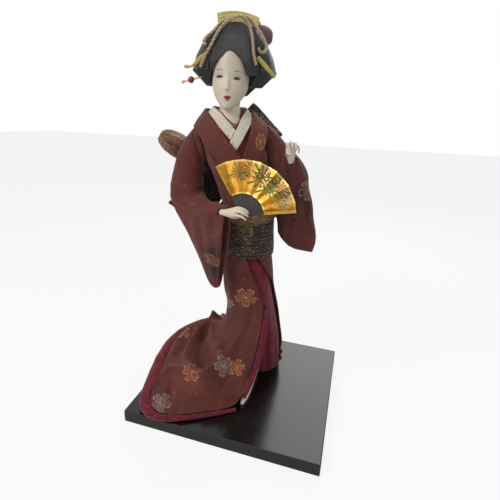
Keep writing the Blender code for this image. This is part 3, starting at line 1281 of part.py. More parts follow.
def build():
    """Builds the board and every piece of the doll on it."""
    clear_scene()
    doll = bpy.data.objects.new("doll_frame", None)
    bpy.context.scene.collection.objects.link(doll)
    doll.location = (DOLL_X, DOLL_Y, BOARD_THICK)
    doll.rotation_euler = (0, 0, DOLL_TURN)
    bpy.context.view_layer.update()

    leg_wire("leg_wire_left", ANKLE_LEFT, doll)
    leg_wire("leg_wire_right", ANKLE_RIGHT, doll)
    wires = ("leg_wire_left", "leg_wire_right")
    board(wires)
    carve(foot("foot_left", (*ANKLE_LEFT, 0), (-7, -61, 0), doll), *wires)
    carve(foot("foot_right", (*ANKLE_RIGHT, 0), (-26, -46, 0), doll), *wires)
    feet = ("foot_left", "foot_right")

    head_piece = head(doll)
    arm("arm_right", ARM_PATH_RIGHT, doll)
    arm("arm_left", ARM_PATH_LEFT, doll)
    arms = ("arm_right", "arm_left")
    core = place("torso_core", body_solid("torso_core", CORE_BOTTOM_Z, CORE_TOP_Z, 0, CORE_SHARE, rings=4, sides=8),
                 "straw", doll)
    carve(core, "neck", *wires, *arms)

    skirt_points = skirt_grid(SKIRT_COLUMNS, SKIRT_UPPER_POINTS, SKIRT_LOWER_POINTS)
    place("kimono_skirt", sheet("kimono_skirt", skirt_points, KIMONO_THICK), "kimono", doll)
    carve(under_skirt(doll), *feet)
    front_roll = front_edge_roll(skirt_points, doll)
    roll = hem_roll(doll)
    carve(front_roll, "under_skirt")
    carve(roll, "kimono_skirt", gap=2 * CLEAR)
    carve(roll, "front_edge_roll")

    clothes_on_chest(head_piece, doll)
    collars = ("white_collar_left", "white_collar_right", "kimono_collar_left", "kimono_collar_right")
    bodice = place("kimono_bodice", body_solid("kimono_bodice", BODICE_BOTTOM_Z, BODICE_TOP_Z, BODICE_OUT,
                                               rings=7, sides=18, out_top=BODICE_OUT_TOP), "kimono", doll)
    carve(bodice, "torso_core", "neck", *arms, "red_collar_edge")
    obi(doll)
    scarf(doll)
    carve(scarf_tab(doll), "obi_scarf")

    right = sleeve("sleeve_right", SLEEVE_RIGHT, ARM_PATH_RIGHT, CUFF_RIGHT, doll, 8, (4, -4.2, 0))
    left = sleeve("sleeve_left", SLEEVE_LEFT, ARM_PATH_LEFT, CUFF_LEFT, doll)

    hands = [
        hand("hand_right", ((-38, -52.5, 248.5, 3.6, 3.2), (-31, -57.5, 249, 4.2, 3.4), (-25.5, -61.5, 250.5, 5.6, 3.6),
                            (-20.5, -65, 252, 5.6, 3.0)), (-0.25, 0.3, 1), (
            (((-22, -64.5, 256), (-15.5, -67.5, 257), (-10, -67.5, 254.5), (-7.2, -66.5, 251)), (2.3, 2.1, 1.9, 1.3)),
            (((-22, -65.2, 252.7), (-15.2, -68.6, 253.3), (-10.3, -68.7, 250.8), (-7.8, -67.2, 247.2)), (2.3, 2.1, 1.9, 1.3)),
            (((-22.3, -65, 249), (-16.1, -68.2, 248.7), (-11.8, -68.3, 246.6), (-9.6, -66.8, 243.6)), (2.1, 1.9, 1.7, 1.2)),
            (((-29, -57.5, 246.5), (-24.5, -56.5, 243.6), (-19.5, -56.3, 243.8), (-14.5, -56.6, 245.6)), (2.4, 2.2, 1.9, 1.3)),
        ), doll),
        hand("hand_left", ((39.5, -19, 295, 3.4, 3.2), (38, -20.5, 301.5, 4.2, 3.6), (36.8, -21.5, 309, 6.2, 4.2),
                           (36.8, -21.8, 315.5, 6.8, 4.4), (37, -21.6, 318.5, 5.6, 3.6)), (1, 0.2, 0.1), (
            (((31.5, -22.5, 316), (31, -25.5, 320.6), (32, -29, 318.5), (34.5, -29.5, 313)), (2.1, 2.1, 1.9, 1.3)),
            (((35.5, -22.5, 318), (35.4, -25.8, 322.4), (36.4, -29.6, 319.6), (38, -30, 313)), (2.2, 2.2, 2.0, 1.3)),
            (((39.7, -22.5, 317.5), (40, -25.8, 321.2), (40.9, -29.5, 317.8), (41.8, -29.6, 311.4)), (2.1, 2.1, 1.9, 1.3)),
            (((42.8, -22, 315), (43.8, -25, 317.8), (44.6, -28, 314), (44.6, -28.2, 308.4)), (1.9, 1.9, 1.7, 1.2)),
            (((33, -22.5, 306), (31.5, -26.5, 309.5), (33.5, -30.6, 309.2), (37, -32, 307.5)), (2.2, 2.1, 1.9, 1.3)),
        ), doll),
    ]
    fan(doll)
    for piece, limb in zip(hands, arms):
        carve(piece, limb)
    carve(hands[0], "fan_ribs", "fan_leaf", "fan_guard_right", "fan_guard_left", "fan_rivet")
    carve(right, "kimono_bodice", "hand_right")
    carve(right, "kimono_collar_right", gap=2 * CLEAR)
    carve(left, "kimono_bodice", "hand_left", "kimono_collar_left", "obi_band", "obi_scarf")

    panel, roll_piece = bow_panel(doll), bow_roll(doll)
    carve(bow_knot(doll), "kimono_bodice")
    carve(panel, "kimono_bodice", "obi_knot", "kimono_collar_left")
    carve(roll_piece, "obi_bow_panel", "obi_knot", "sleeve_right")
    head_dress(head_piece, doll)


build()
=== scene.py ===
"""A doll in kimono with a folding fan on a black lacquered board: its fine shapes and finishes."""

import json
import logging
import math
from collections.abc import Sequence
from dataclasses import dataclass
from enum import Enum

import bmesh
import bpy
import numpy as np
from mathutils import Matrix, Vector
from mathutils.bvhtree import BVHTree

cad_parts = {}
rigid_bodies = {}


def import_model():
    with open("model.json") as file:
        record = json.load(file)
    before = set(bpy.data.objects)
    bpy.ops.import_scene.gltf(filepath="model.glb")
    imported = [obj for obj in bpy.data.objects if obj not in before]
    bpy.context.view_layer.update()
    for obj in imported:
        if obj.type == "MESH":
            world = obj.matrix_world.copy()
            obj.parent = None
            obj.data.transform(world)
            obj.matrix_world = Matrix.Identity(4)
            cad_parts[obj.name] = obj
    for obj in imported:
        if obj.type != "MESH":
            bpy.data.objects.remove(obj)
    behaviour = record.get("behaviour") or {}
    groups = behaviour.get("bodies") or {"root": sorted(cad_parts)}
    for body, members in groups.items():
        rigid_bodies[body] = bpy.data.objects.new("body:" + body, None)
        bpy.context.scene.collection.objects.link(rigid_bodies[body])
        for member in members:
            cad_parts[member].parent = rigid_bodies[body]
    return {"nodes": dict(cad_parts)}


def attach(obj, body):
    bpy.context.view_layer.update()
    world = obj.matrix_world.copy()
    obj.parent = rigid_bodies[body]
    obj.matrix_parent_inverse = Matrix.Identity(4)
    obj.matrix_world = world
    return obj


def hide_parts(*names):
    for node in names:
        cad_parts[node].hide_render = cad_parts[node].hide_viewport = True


log = logging.getLogger("doll")

MM = 0.001
Point = tuple[float, float, float]
Tint = tuple[float, float, float]


@dataclass(frozen=True)
class Stance:
    """Where the doll stands on its board and how far it is turned.

    Args:
        x, y, z: the doll's own origin, in metres.
        turn: its turn about the upright line, in radians.
    """

    x: float = 0.002
    y: float = 0.008
    z: float = 0.016
    turn: float = math.radians(18)

    def out(self, points: Sequence[Point] | np.ndarray) -> np.ndarray:
        """Points of the doll in millimetres as points of the frame in metres."""
        p = np.asarray(points, float).reshape(-1, 3) * MM
        c, s = math.cos(self.turn), math.sin(self.turn)
        across, behind = p[:, 0] * c - p[:, 1] * s, p[:, 0] * s + p[:, 1] * c
        return np.column_stack([self.x + across, self.y + behind, self.z + p[:, 2]])

    def back(self, points: np.ndarray) -> np.ndarray:
        """Points of the frame in metres as points of the doll in millimetres."""
        p = np.asarray(points, float) - (self.x, self.y, self.z)
        c, s = math.cos(self.turn), math.sin(self.turn)
        return np.column_stack([p[:, 0] * c + p[:, 1] * s, -p[:, 0] * s + p[:, 1] * c, p[:, 2]]) / MM


DOLL = Stance()


class Slot(Enum):
    """The record's material slots."""

    LACQUER = "lacquer"
    STEEL = "steel"
    STRAW = "straw"
    SKIN = "skin"
    HAIR = "hair"
    KIMONO = "kimono"
    CRIMSON = "crimson"
    WHITE_SILK = "white_silk"
    RED_SILK = "red_silk"
    OBI = "obi"
    OBI_COPPER = "obi_copper"
    SCARF = "scarf"
    FAN_GOLD = "fan_gold"
    FAN_WOOD = "fan_wood"
    RIVET = "rivet"
    GOLD = "gold"
    COMB = "comb"
    CORD = "cord"
    CORAL = "coral"
    PURPLE = "purple_silk"


class Facing(Enum):
    """The plane that a printed blossom lies in."""

    FRONT = ("x", "z")
    TRAIN = ("x", "s")
    SIDE = ("y", "z")
    FLAT = ("x", "y")


# Shader maths


class Value:
    """A number that changes over a surface, with the arithmetic of ordinary numbers."""

    def __init__(self, paint: "Paint", socket: bpy.types.NodeSocket) -> None:
        """Keeps the material's builder and the socket that carries the number."""
        self.paint = paint
        self.socket = socket

    def _maths(self, operation: str, *values: "Value | float") -> "Value":
        """One Math node on these values."""
        return self.paint.number("ShaderNodeMath", {"operation": operation}, dict(enumerate(values)))

    def __add__(self, other: "Value | float") -> "Value":
        """Sum."""
        return self._maths("ADD", self, other)

    def __radd__(self, other: float) -> "Value":
        """Sum, number first."""
        return self._maths("ADD", other, self)

    def __sub__(self, other: "Value | float") -> "Value":
        """Difference."""
        return self._maths("SUBTRACT", self, other)

    def __rsub__(self, other: float) -> "Value":
        """Difference, number first."""
        return self._maths("SUBTRACT", other, self)

    def __mul__(self, other: "Value | float") -> "Value":
        """Product."""
        return self._maths("MULTIPLY", self, other)

    def __rmul__(self, other: float) -> "Value":
        """Product, number first."""
        return self._maths("MULTIPLY", other, self)

    def __truediv__(self, other: "Value | float") -> "Value":
        """Quotient."""
        return self._maths("DIVIDE", self, other)

    def size(self) -> "Value":
        """The number without its sign."""
        return self._maths("ABSOLUTE", self)

    def root(self) -> "Value":
        """Square root."""
        return self._maths("SQRT", self)

    def sine(self) -> "Value":
        """Sine of the number in radians."""
        return self._maths("SINE", self)

    def part(self) -> "Value":
        """What is left after the whole number below it."""
        return self._maths("FRACT", self)

    def least(self, other: "Value | float") -> "Value":
        """The smaller of two."""
        return self._maths("MINIMUM", self, other)

    def most(self, other: "Value | float") -> "Value":
        """The larger of two."""
        return self._maths("MAXIMUM", self, other)

    def step(self, low: float, high: float) -> "Value":
        """A soft step: 0 below low and 1 above high, or the other way round where low is the larger.

        Args:
            low: where the step begins.
            high: where it is complete.
        Returns:
            A mask from 0 to 1.
        """
        return self.paint.number(
            "ShaderNodeMapRange", {"interpolation_type": "SMOOTHSTEP"}, {0: self, 1: low, 2: high, 3: 0.0, 4: 1.0}
        )

    def bell(self, centre: float, half: float) -> "Value":
        """A soft bump of height 1 at a centre."""
        return ((self - centre).size() * (1 / half)).step(1.0, 0.0)


Colour = bpy.types.NodeSocket | Tint


class Paint:
    """Builds one material of procedural nodes."""

    def __init__(self, name: str) -> None:
        """Starts an empty Principled material of this name."""
        self.material = bpy.data.materials.new(name)
        self.material.use_nodes = True
        self.tree = self.material.node_tree
        self.shader = self.tree.nodes["Principled BSDF"]
        self.coords = self.tree.nodes.new("ShaderNodeTexCoord").outputs["Object"]
        self._places: dict[str, Value] = {}

    def node(self, kind: str, settings: dict[str, object], sockets: dict[int | str, object]) -> bpy.types.Node:
        """Adds a node.

        Args:
            kind: the node's type.
            settings: properties, set first; "stops" holds a ramp's (place, colour) pairs.
            sockets: values or links of its inputs.
        Returns:
            The node.
        """
        made = self.tree.nodes.new(kind)
        for key, value in settings.items():
            if key == "stops":
                ramp = made.color_ramp
                while len(ramp.elements) < len(value):
                    ramp.elements.new(1.0)
                for element, (place, colour) in zip(ramp.elements, value):
                    element.position = place
                    element.color = (*colour, 1.0)
            else:
                setattr(made, key, value)
        for key, value in sockets.items():
            if isinstance(value, Value):
                value = value.socket
            if isinstance(value, bpy.types.NodeSocket):
                self.tree.links.new(value, made.inputs[key])
            elif isinstance(value, tuple) and len(value) == 3 and made.inputs[key].type == "RGBA":
                made.inputs[key].default_value = (*value, 1.0)
            else:
                made.inputs[key].default_value = value
        return made

    def number(
        self, kind: str, settings: dict[str, object], sockets: dict[int | str, object], out: int | str = 0
    ) -> Value:
        """Adds a node and gives one of its outputs as a number."""
        return Value(self, self.node(kind, settings, sockets).outputs[out])

    def place(self, axis: str) -> Value:
        """One coordinate of the doll in millimetres: x sideways, y front to back, z height, s up the train."""
        if not self._places:
            split = self.node("ShaderNodeSeparateXYZ", {}, {0: self.coords}).outputs
            x, y, z = (Value(self, split[i]) for i in range(3))
            c, s = math.cos(DOLL.turn) / MM, math.sin(DOLL.turn) / MM
            across, behind = x - DOLL.x, y - DOLL.y
            self._places = {"x": across * c + behind * s, "y": behind * c - across * s, "z": (z - DOLL.z) * (1 / MM)}
            self._places["s"] = self._places["y"] * 0.78 + self._places["z"] * 0.62
        return self._places[axis]

    def stretched(self, x: float, y: float, z: float) -> bpy.types.NodeSocket:
        """Object coordinates in the doll's own directions, scaled along each, per metre."""
        made = self.node("ShaderNodeMapping", {"vector_type": "POINT"}, {"Vector": self.coords})
        made.inputs["Rotation"].default_value = (0, 0, -DOLL.turn)
        scaled = self.node("ShaderNodeVectorMath", {"operation": "MULTIPLY"}, {0: made.outputs[0], 1: (x, y, z)})
        return scaled.outputs[0]

    def noise(
        self, scale: float, detail: float = 3.0, rough: float = 0.5, along: bpy.types.NodeSocket | None = None
    ) -> Value:
        """Cloudy noise from 0 to 1, of a scale per metre."""
        return self.number(
            "ShaderNodeTexNoise",
            {},
            {"Vector": along or self.coords, "Scale": scale, "Detail": detail, "Roughness": rough},
            "Fac",
        )

    def cells(self, scale: float, along: bpy.types.NodeSocket | None = None) -> Value:
        """Distance within small cells, of a scale per metre."""
        return self.number("ShaderNodeTexVoronoi", {}, {"Vector": along or self.coords, "Scale": scale}, "Distance")

    def grain(self, scale: float, along: bpy.types.NodeSocket | None = None) -> Value:
        """A random number for each small cell."""
        made = self.node("ShaderNodeTexVoronoi", {}, {"Vector": along or self.coords, "Scale": scale})
        return self.number("ShaderNodeSeparateColor", {}, {0: made.outputs["Color"]}, 0)

    def mix(self, mask: Value | float, below: Colour, above: Colour) -> bpy.types.NodeSocket:
        """One colour over another by a mask."""
        made = self.node("ShaderNodeMix", {"data_type": "RGBA"}, {0: mask, 6: below, 7: above})
        return made.outputs[2]

    def shade(self, colour: Colour, amount: Value) -> bpy.types.NodeSocket:
        """A colour made darker or lighter by a number."""
        made = self.node("ShaderNodeVectorMath", {"operation": "SCALE"}, {0: colour, "Scale": amount})
        return made.outputs[0]

    def attribute(self, name: str) -> Value:
        """A number that the piece carries at its points."""
        return self.number("ShaderNodeAttribute", {"attribute_name": name}, {}, "Fac")

    def blossom(self, colour: Colour, spot: "Blossom") -> bpy.types.NodeSocket:
        """Prints one five-petalled blossom with a pale outline over a colour.

        Args:
            colour: what lies under it.
            spot: where it is, its size and its tints.
        Returns:
            The colour with the blossom on it.
        """
        a, b = spot.facing.value
        centre = dict(zip("xyz", spot.at))
        centre["s"] = centre["y"] * 0.78 + centre["z"] * 0.62
        across, up = self.place(a) - centre[a], self.place(b) - centre[b]
        far = (across * across + up * up).root()
        third = ({"x", "y", "z"} - {a, "z" if b == "s" else b}).pop()
        deep = (self.place(third) - centre[third]).size().step(spot.depth, spot.depth * 0.8)
        angle = self.number("ShaderNodeMath", {"operation": "ARCTAN2"}, {0: up, 1: across})
        turn = ((angle + (math.pi + spot.turn)) * (5 / (2 * math.pi))).part()
        gap = (turn * 2 - 1).size()
        if spot.single:
            oval = (across * across * 2.6 + up * up).root()
            edge = oval * (1 / spot.radius) - 1 + across.size().step(1.6, 0.0) * up.step(0.0, spot.radius) * 0.3
        else:
            edge = far * (1 / spot.radius) - (1 - gap * gap * gap * 0.62) + gap.step(0.24, 0.0) * 0.17
        petals = edge.step(0.04, -0.03) * deep
        rim = edge.bell(-0.04, 0.085) * deep
        veins = (gap * 9.0).sine().step(0.2, 0.9) * far.step(spot.radius * 0.85, spot.radius * 0.2) * petals
        eye = far.step(spot.radius * 0.17, spot.radius * 0.1) * deep
        worn = self.noise(420, 2).step(0.34, 0.5)
        fill = self.mix(self.noise(700, 2), spot.fill, tuple(c * 0.6 for c in spot.fill))
        colour = self.mix(petals * worn * spot.strength, colour, fill)
        return self.mix((rim * 0.9 + veins * 0.3 + eye * 0.6).least(1.0) * worn * spot.strength, colour, spot.line)

    def bump(self, height: Value, depth: float) -> bpy.types.NodeSocket:
        """A relief in the surface, of a depth in metres."""
        return self.node("ShaderNodeBump", {}, {"Height": height, "Distance": depth, "Strength": 1.0}).outputs[0]

    def done(self, **sockets: object) -> bpy.types.Material:
        """Sets the shader's sockets, named with underscores for spaces, and gives the material."""
        for key, value in sockets.items():
            socket = self.shader.inputs[key.replace("_", " ")]
            if isinstance(value, Value):
                value = value.socket
            if isinstance(value, bpy.types.NodeSocket):
                self.tree.links.new(value, socket)
            elif socket.type == "RGBA" and isinstance(value, tuple):
                socket.default_value = (*value, 1.0)
            else:
                socket.default_value = value
        return self.material


@dataclass(frozen=True)
class Blossom:
    """A printed blossom: its middle in millimetres, radius, tints and the plane it lies in."""

    at: Point
    radius: float
    fill: Tint
    line: Tint
    facing: Facing = Facing.FRONT
    turn: float = 0.3
    depth: float = 22.0
    strength: float = 0.9
    single: bool = False


RUST: Tint = (0.34, 0.090, 0.032)
ASH: Tint = (0.21, 0.135, 0.115)
PALE_GOLD: Tint = (0.50, 0.33, 0.17)
PALE_ASH: Tint = (0.40, 0.30, 0.23)

SKIRT_PRINT = (
    Blossom((-6, -30, 133), 14, RUST, PALE_GOLD),
    Blossom((-71, -36, 25), 12, RUST, PALE_GOLD, Facing.TRAIN, 0.9),
    Blossom((-106, -82, 25), 13, ASH, PALE_ASH, Facing.TRAIN, 0.2),
    Blossom((-31, -45, 48), 12, ASH, PALE_ASH, Facing.TRAIN, 0.5),
    Blossom((-14, -47, 50), 10, RUST, PALE_GOLD, Facing.TRAIN, 1.2),
    Blossom((-28, 40, 150), 14, RUST, PALE_GOLD, Facing.FRONT, 0.4),
    Blossom((4, 52, 92), 13, ASH, PALE_ASH, Facing.FRONT, 0.8),
    Blossom((-44, 66, 66), 13, RUST, PALE_GOLD, Facing.FRONT, 0.2),
    Blossom((-38, -2, 120), 12, ASH, PALE_ASH, Facing.SIDE, 0.6),
    Blossom((-96, 30, 40), 13, RUST, PALE_GOLD, Facing.FLAT, 0.5),
)
TOP_PRINT = (
    Blossom((3.6, -26, 319.6), 8.6, RUST, PALE_GOLD, Facing.FRONT, 0.9, 26, 0.9, True),
    Blossom((12, -24, 304), 4.5, RUST, PALE_GOLD, Facing.FRONT, 0.2, 26, 0.5),
    Blossom((-22, 30, 318), 12, RUST, PALE_GOLD, Facing.FRONT, 0.5, 14),
)
SLEEVE_PRINT = (
    Blossom((62, -12, 268), 13, ASH, PALE_ASH, Facing.FRONT, 0.3, 14, 0.7),
    Blossom((60, 12, 240), 13, RUST, PALE_GOLD, Facing.FRONT, 0.8, 10),
    Blossom((-47, -42, 190), 8, RUST, PALE_GOLD, Facing.SIDE, 0.8, 12, 0.5),
    Blossom((-78, 12, 300), 12, ASH, PALE_ASH, Facing.FRONT, 0.1, 12, 0.8),
)


# Finishes


@dataclass(frozen=True)
class CrepeFinish:
    """Reddish brown silk crepe with dark clouds, fine slubs and printed blossoms, and thin dark seam lines of painted
    shadow where given.
    """

    name: str = "kimono_crepe"
    base: Tint = (0.098, 0.022, 0.017)
    dark: Tint = (0.022, 0.0065, 0.008)
    rosy: Tint = (0.16, 0.040, 0.030)
    clouds: float = 0.35
    print_on: tuple[Blossom, ...] = ()
    # Seam lines, each from (x, z) to (x, z), darkened as painted shadow.
    shaded_seams: tuple[tuple[float, float, float, float], ...] = ()

    def _shaded_seam(self, p: Paint, run: tuple[float, float, float, float]) -> Value:
        """A thin line on the front, from one place across and up to another, where a seam is darkened as painted
        shadow.
        """
        x, z = p.place("x") - run[0], p.place("z") - run[1]
        length = math.hypot(run[2] - run[0], run[3] - run[1])
        c, s = (run[2] - run[0]) / length, (run[3] - run[1]) / length
        along, off = x * c + z * s, (z * c - x * s).size()
        within = along.step(-1.0, 0.5) * along.step(length + 1.0, length - 0.5)
        return off.step(1.1, 0.25) * within * p.place("y").step(6.0, 2.0)

    def make(self) -> bpy.types.Material:
        """The crepe's material."""
        p = Paint(self.name)
        slub = p.noise(1.0, 2, 0.6, p.stretched(260, 260, 2300))
        warp = p.noise(1.0, 2, 0.6, p.stretched(2100, 2100, 300))
        tooth = p.noise(2600, 2, 0.7)
        cloud = p.noise(17, 3, 0.55, p.stretched(1.0, 1.0, 0.55)).step(0.50, 0.66)
        blush = p.noise(24, 2).step(0.45, 0.72)
        colour = p.mix(blush * 0.65, self.base, self.rosy)
        colour = p.mix(cloud * self.clouds, colour, self.dark)
        fleck = p.grain(480).step(0.93, 0.97) * p.noise(60, 1).step(0.5, 0.7)
        colour = p.mix(fleck * 0.4, colour, (0.30, 0.15, 0.09))
        for spot in self.print_on:
            colour = p.blossom(colour, spot)
        colour = p.shade(colour, slub * 0.5 + warp * 0.35 + tooth * 0.3 + 0.44)
        weave = slub * 0.6 + warp * 0.5 + tooth * 0.5
        # Painted shadow: each seam line is darkened as if shaded by the cloth's edge over it.
        for run in self.shaded_seams:
            line = self._shaded_seam(p, run)
            colour = p.mix(line * 0.75, colour, (0.012, 0.003, 0.003))
            weave = weave - line * 2.0
        return p.done(
            Base_Color=colour,
            Roughness=0.86 - slub * 0.14,
            Normal=p.bump(weave, 0.00042),
            Sheen_Weight=0.12,
            Sheen_Roughness=0.5,
            Specular_IOR_Level=0.25,
        )


@dataclass(frozen=True)
class BrocadeFinish:
    """Crimson brocade with a speckled tooth."""

    name: str = "crimson_brocade"
    base: Tint = (0.165, 0.004, 0.018)
    light: Tint = (0.42, 0.03, 0.075)
    dark: Tint = (0.045, 0.002, 0.007)

    def make(self) -> bpy.types.Material:
        """The brocade's material."""
        p = Paint(self.name)
        cell = p.cells(780, p.stretched(1, 1, 0.8))
        figure = p.noise(120, 3, 0.6).step(0.46, 0.58)
        speck = p.grain(900)
        colour = p.mix(figure * 0.55, self.base, self.dark)
        colour = p.mix(speck.step(0.72, 0.95) * 0.7, colour, self.light)
        colour = p.shade(colour, 1.25 - cell * 0.9)
        height = 1 - cell + figure * 0.5
        return p.done(
            Base_Color=colour,
            Roughness=0.7 + cell * 0.2,
            Normal=p.bump(height, 0.0005),
            Sheen_Weight=0.15,
            Specular_IOR_Level=0.3,
        )


@dataclass(frozen=True)
class WhiteSilkFinish:
    """Ivory crepe with raised flecks."""

    name: str = "white_crepe"

    def make(self) -> bpy.types.Material:
        """The collar's material."""
        p = Paint(self.name)
        cell = p.cells(760)
        pink = p.noise(230, 2).step(0.55, 0.68)
        colour = p.mix(pink * 0.5, (0.70, 0.63, 0.51), (0.60, 0.40, 0.33))
        colour = p.shade(colour, 1.18 - cell * 0.55)
        relief = p.bump(1 - cell, 0.0005)
        return p.done(Base_Color=colour, Roughness=0.75 + cell * 0.1, Normal=relief, Specular_IOR_Level=0.3)


@dataclass(frozen=True)
class GlitterFinish:
    """Dark sash cloth with metal thread woven in."""

    name: str
    ground: Tint
    thread: Tint
    amount: float = 0.5
    bands: bool = False

    def make(self) -> bpy.types.Material:
        """The metal cloth's material."""
        p = Paint(self.name)
        bits = p.grain(1700, p.stretched(1, 1, 1.3))
        drift = p.noise(45, 3, 0.6)
        mask = (bits + drift * 0.9).step(1.38 - self.amount * 0.55, 1.46 - self.amount * 0.55)
        if self.bands:
            mask = mask.most((p.place("z") * 1.35).sine().step(0.9, 0.99) * p.noise(400, 2).step(0.5, 0.6))
        tone = p.mix(p.grain(700), self.thread, tuple(c * 0.45 for c in self.thread))
        colour = p.mix(mask, self.ground, tone)
        rows = p.noise(1.0, 1, 0.5, p.stretched(500, 500, 2600))
        return p.done(
            Base_Color=colour,
            Metallic=mask * 0.75,
            Roughness=0.72 - mask * 0.3,
            Normal=p.bump(rows * 0.5 + mask * 0.6 + bits * 0.4, 0.0004),
            Specular_IOR_Level=0.35,
        )


@dataclass(frozen=True)
class LacquerFinish:
    """Black lacquer over wood, polished, with a trace of dust and hairline marks."""

    def make(self) -> bpy.types.Material:
        """The board's material."""
        p = Paint("board_lacquer")
        dust = p.grain(1500).step(0.975, 0.99) * p.noise(26, 2).step(0.42, 0.7)
        cloud = p.noise(9, 3)
        marks = p.noise(1.0, 2, 0.6, p.stretched(14, 900, 60)).step(0.7, 0.78) * p.noise(12, 1).step(0.5, 0.7)
        colour = p.mix(dust * 0.35, (0.0045, 0.0042, 0.0042), (0.12, 0.115, 0.11))
        orange_peel = p.noise(160, 2)
        return p.done(
            Base_Color=colour,
            Roughness=0.15 + cloud * 0.09 + marks * 0.15 + dust * 0.3,
            Normal=p.bump(orange_peel, 0.00004),
            Specular_IOR_Level=0.5,
        )


@dataclass(frozen=True)
class HairFinish:
    """Blue-black silk hair combed in fine strands."""

    name: str = "silk_hair"

    def make(self) -> bpy.types.Material:
        """The hair's material, its strands along lines of equal "strand"."""
        p = Paint(self.name)
        strand, along = p.attribute("strand"), p.attribute("along")
        lines = p.number("ShaderNodeCombineXYZ", {}, {0: strand * 46, 1: along * 1.4, 2: 0.0})
        fine = p.noise(1.0, 3, 0.7, lines.socket)
        locks = p.noise(0.16, 2, 0.5, lines.socket)
        tone = fine * 0.65 + locks * 0.45
        stops = ((0.3, (0.003, 0.0035, 0.005)), (0.62, (0.012, 0.014, 0.018)), (0.85, (0.05, 0.052, 0.058)))
        colour = p.node("ShaderNodeValToRGB", {"stops": stops}, {0: tone}).outputs[0]
        return p.done(
            Base_Color=colour,
            Roughness=0.30 + fine * 0.18,
            Normal=p.bump(fine + locks * 0.8, 0.0006),
            Specular_IOR_Level=0.55,
        )


@dataclass(frozen=True)
class SkinFinish:
    """Ivory gofun, the ground shell paint of a doll's hands and feet."""

    name: str = "gofun_skin"
    base: Tint = (0.66, 0.595, 0.49)

    def ground(self, p: Paint) -> bpy.types.NodeSocket:
        """The ivory ground with its faint clouds."""
        colour = p.mix(p.noise(70, 3), self.base, tuple(c * k for c, k in zip(self.base, (0.93, 0.90, 0.87))))
        return p.mix(p.noise(900, 2).step(0.62, 0.8) * 0.12, colour, (0.55, 0.47, 0.38))

    def make(self) -> bpy.types.Material:
        """The plain skin's material."""
        p = Paint(self.name)
        return p.done(
            Base_Color=self.ground(p),
            Roughness=0.42 + p.noise(300, 2) * 0.12,
            Normal=p.bump(p.noise(1400, 3, 0.6), 0.00006),
            Subsurface_Weight=0.06,
            Subsurface_Radius=(0.004, 0.002, 0.001),
        )


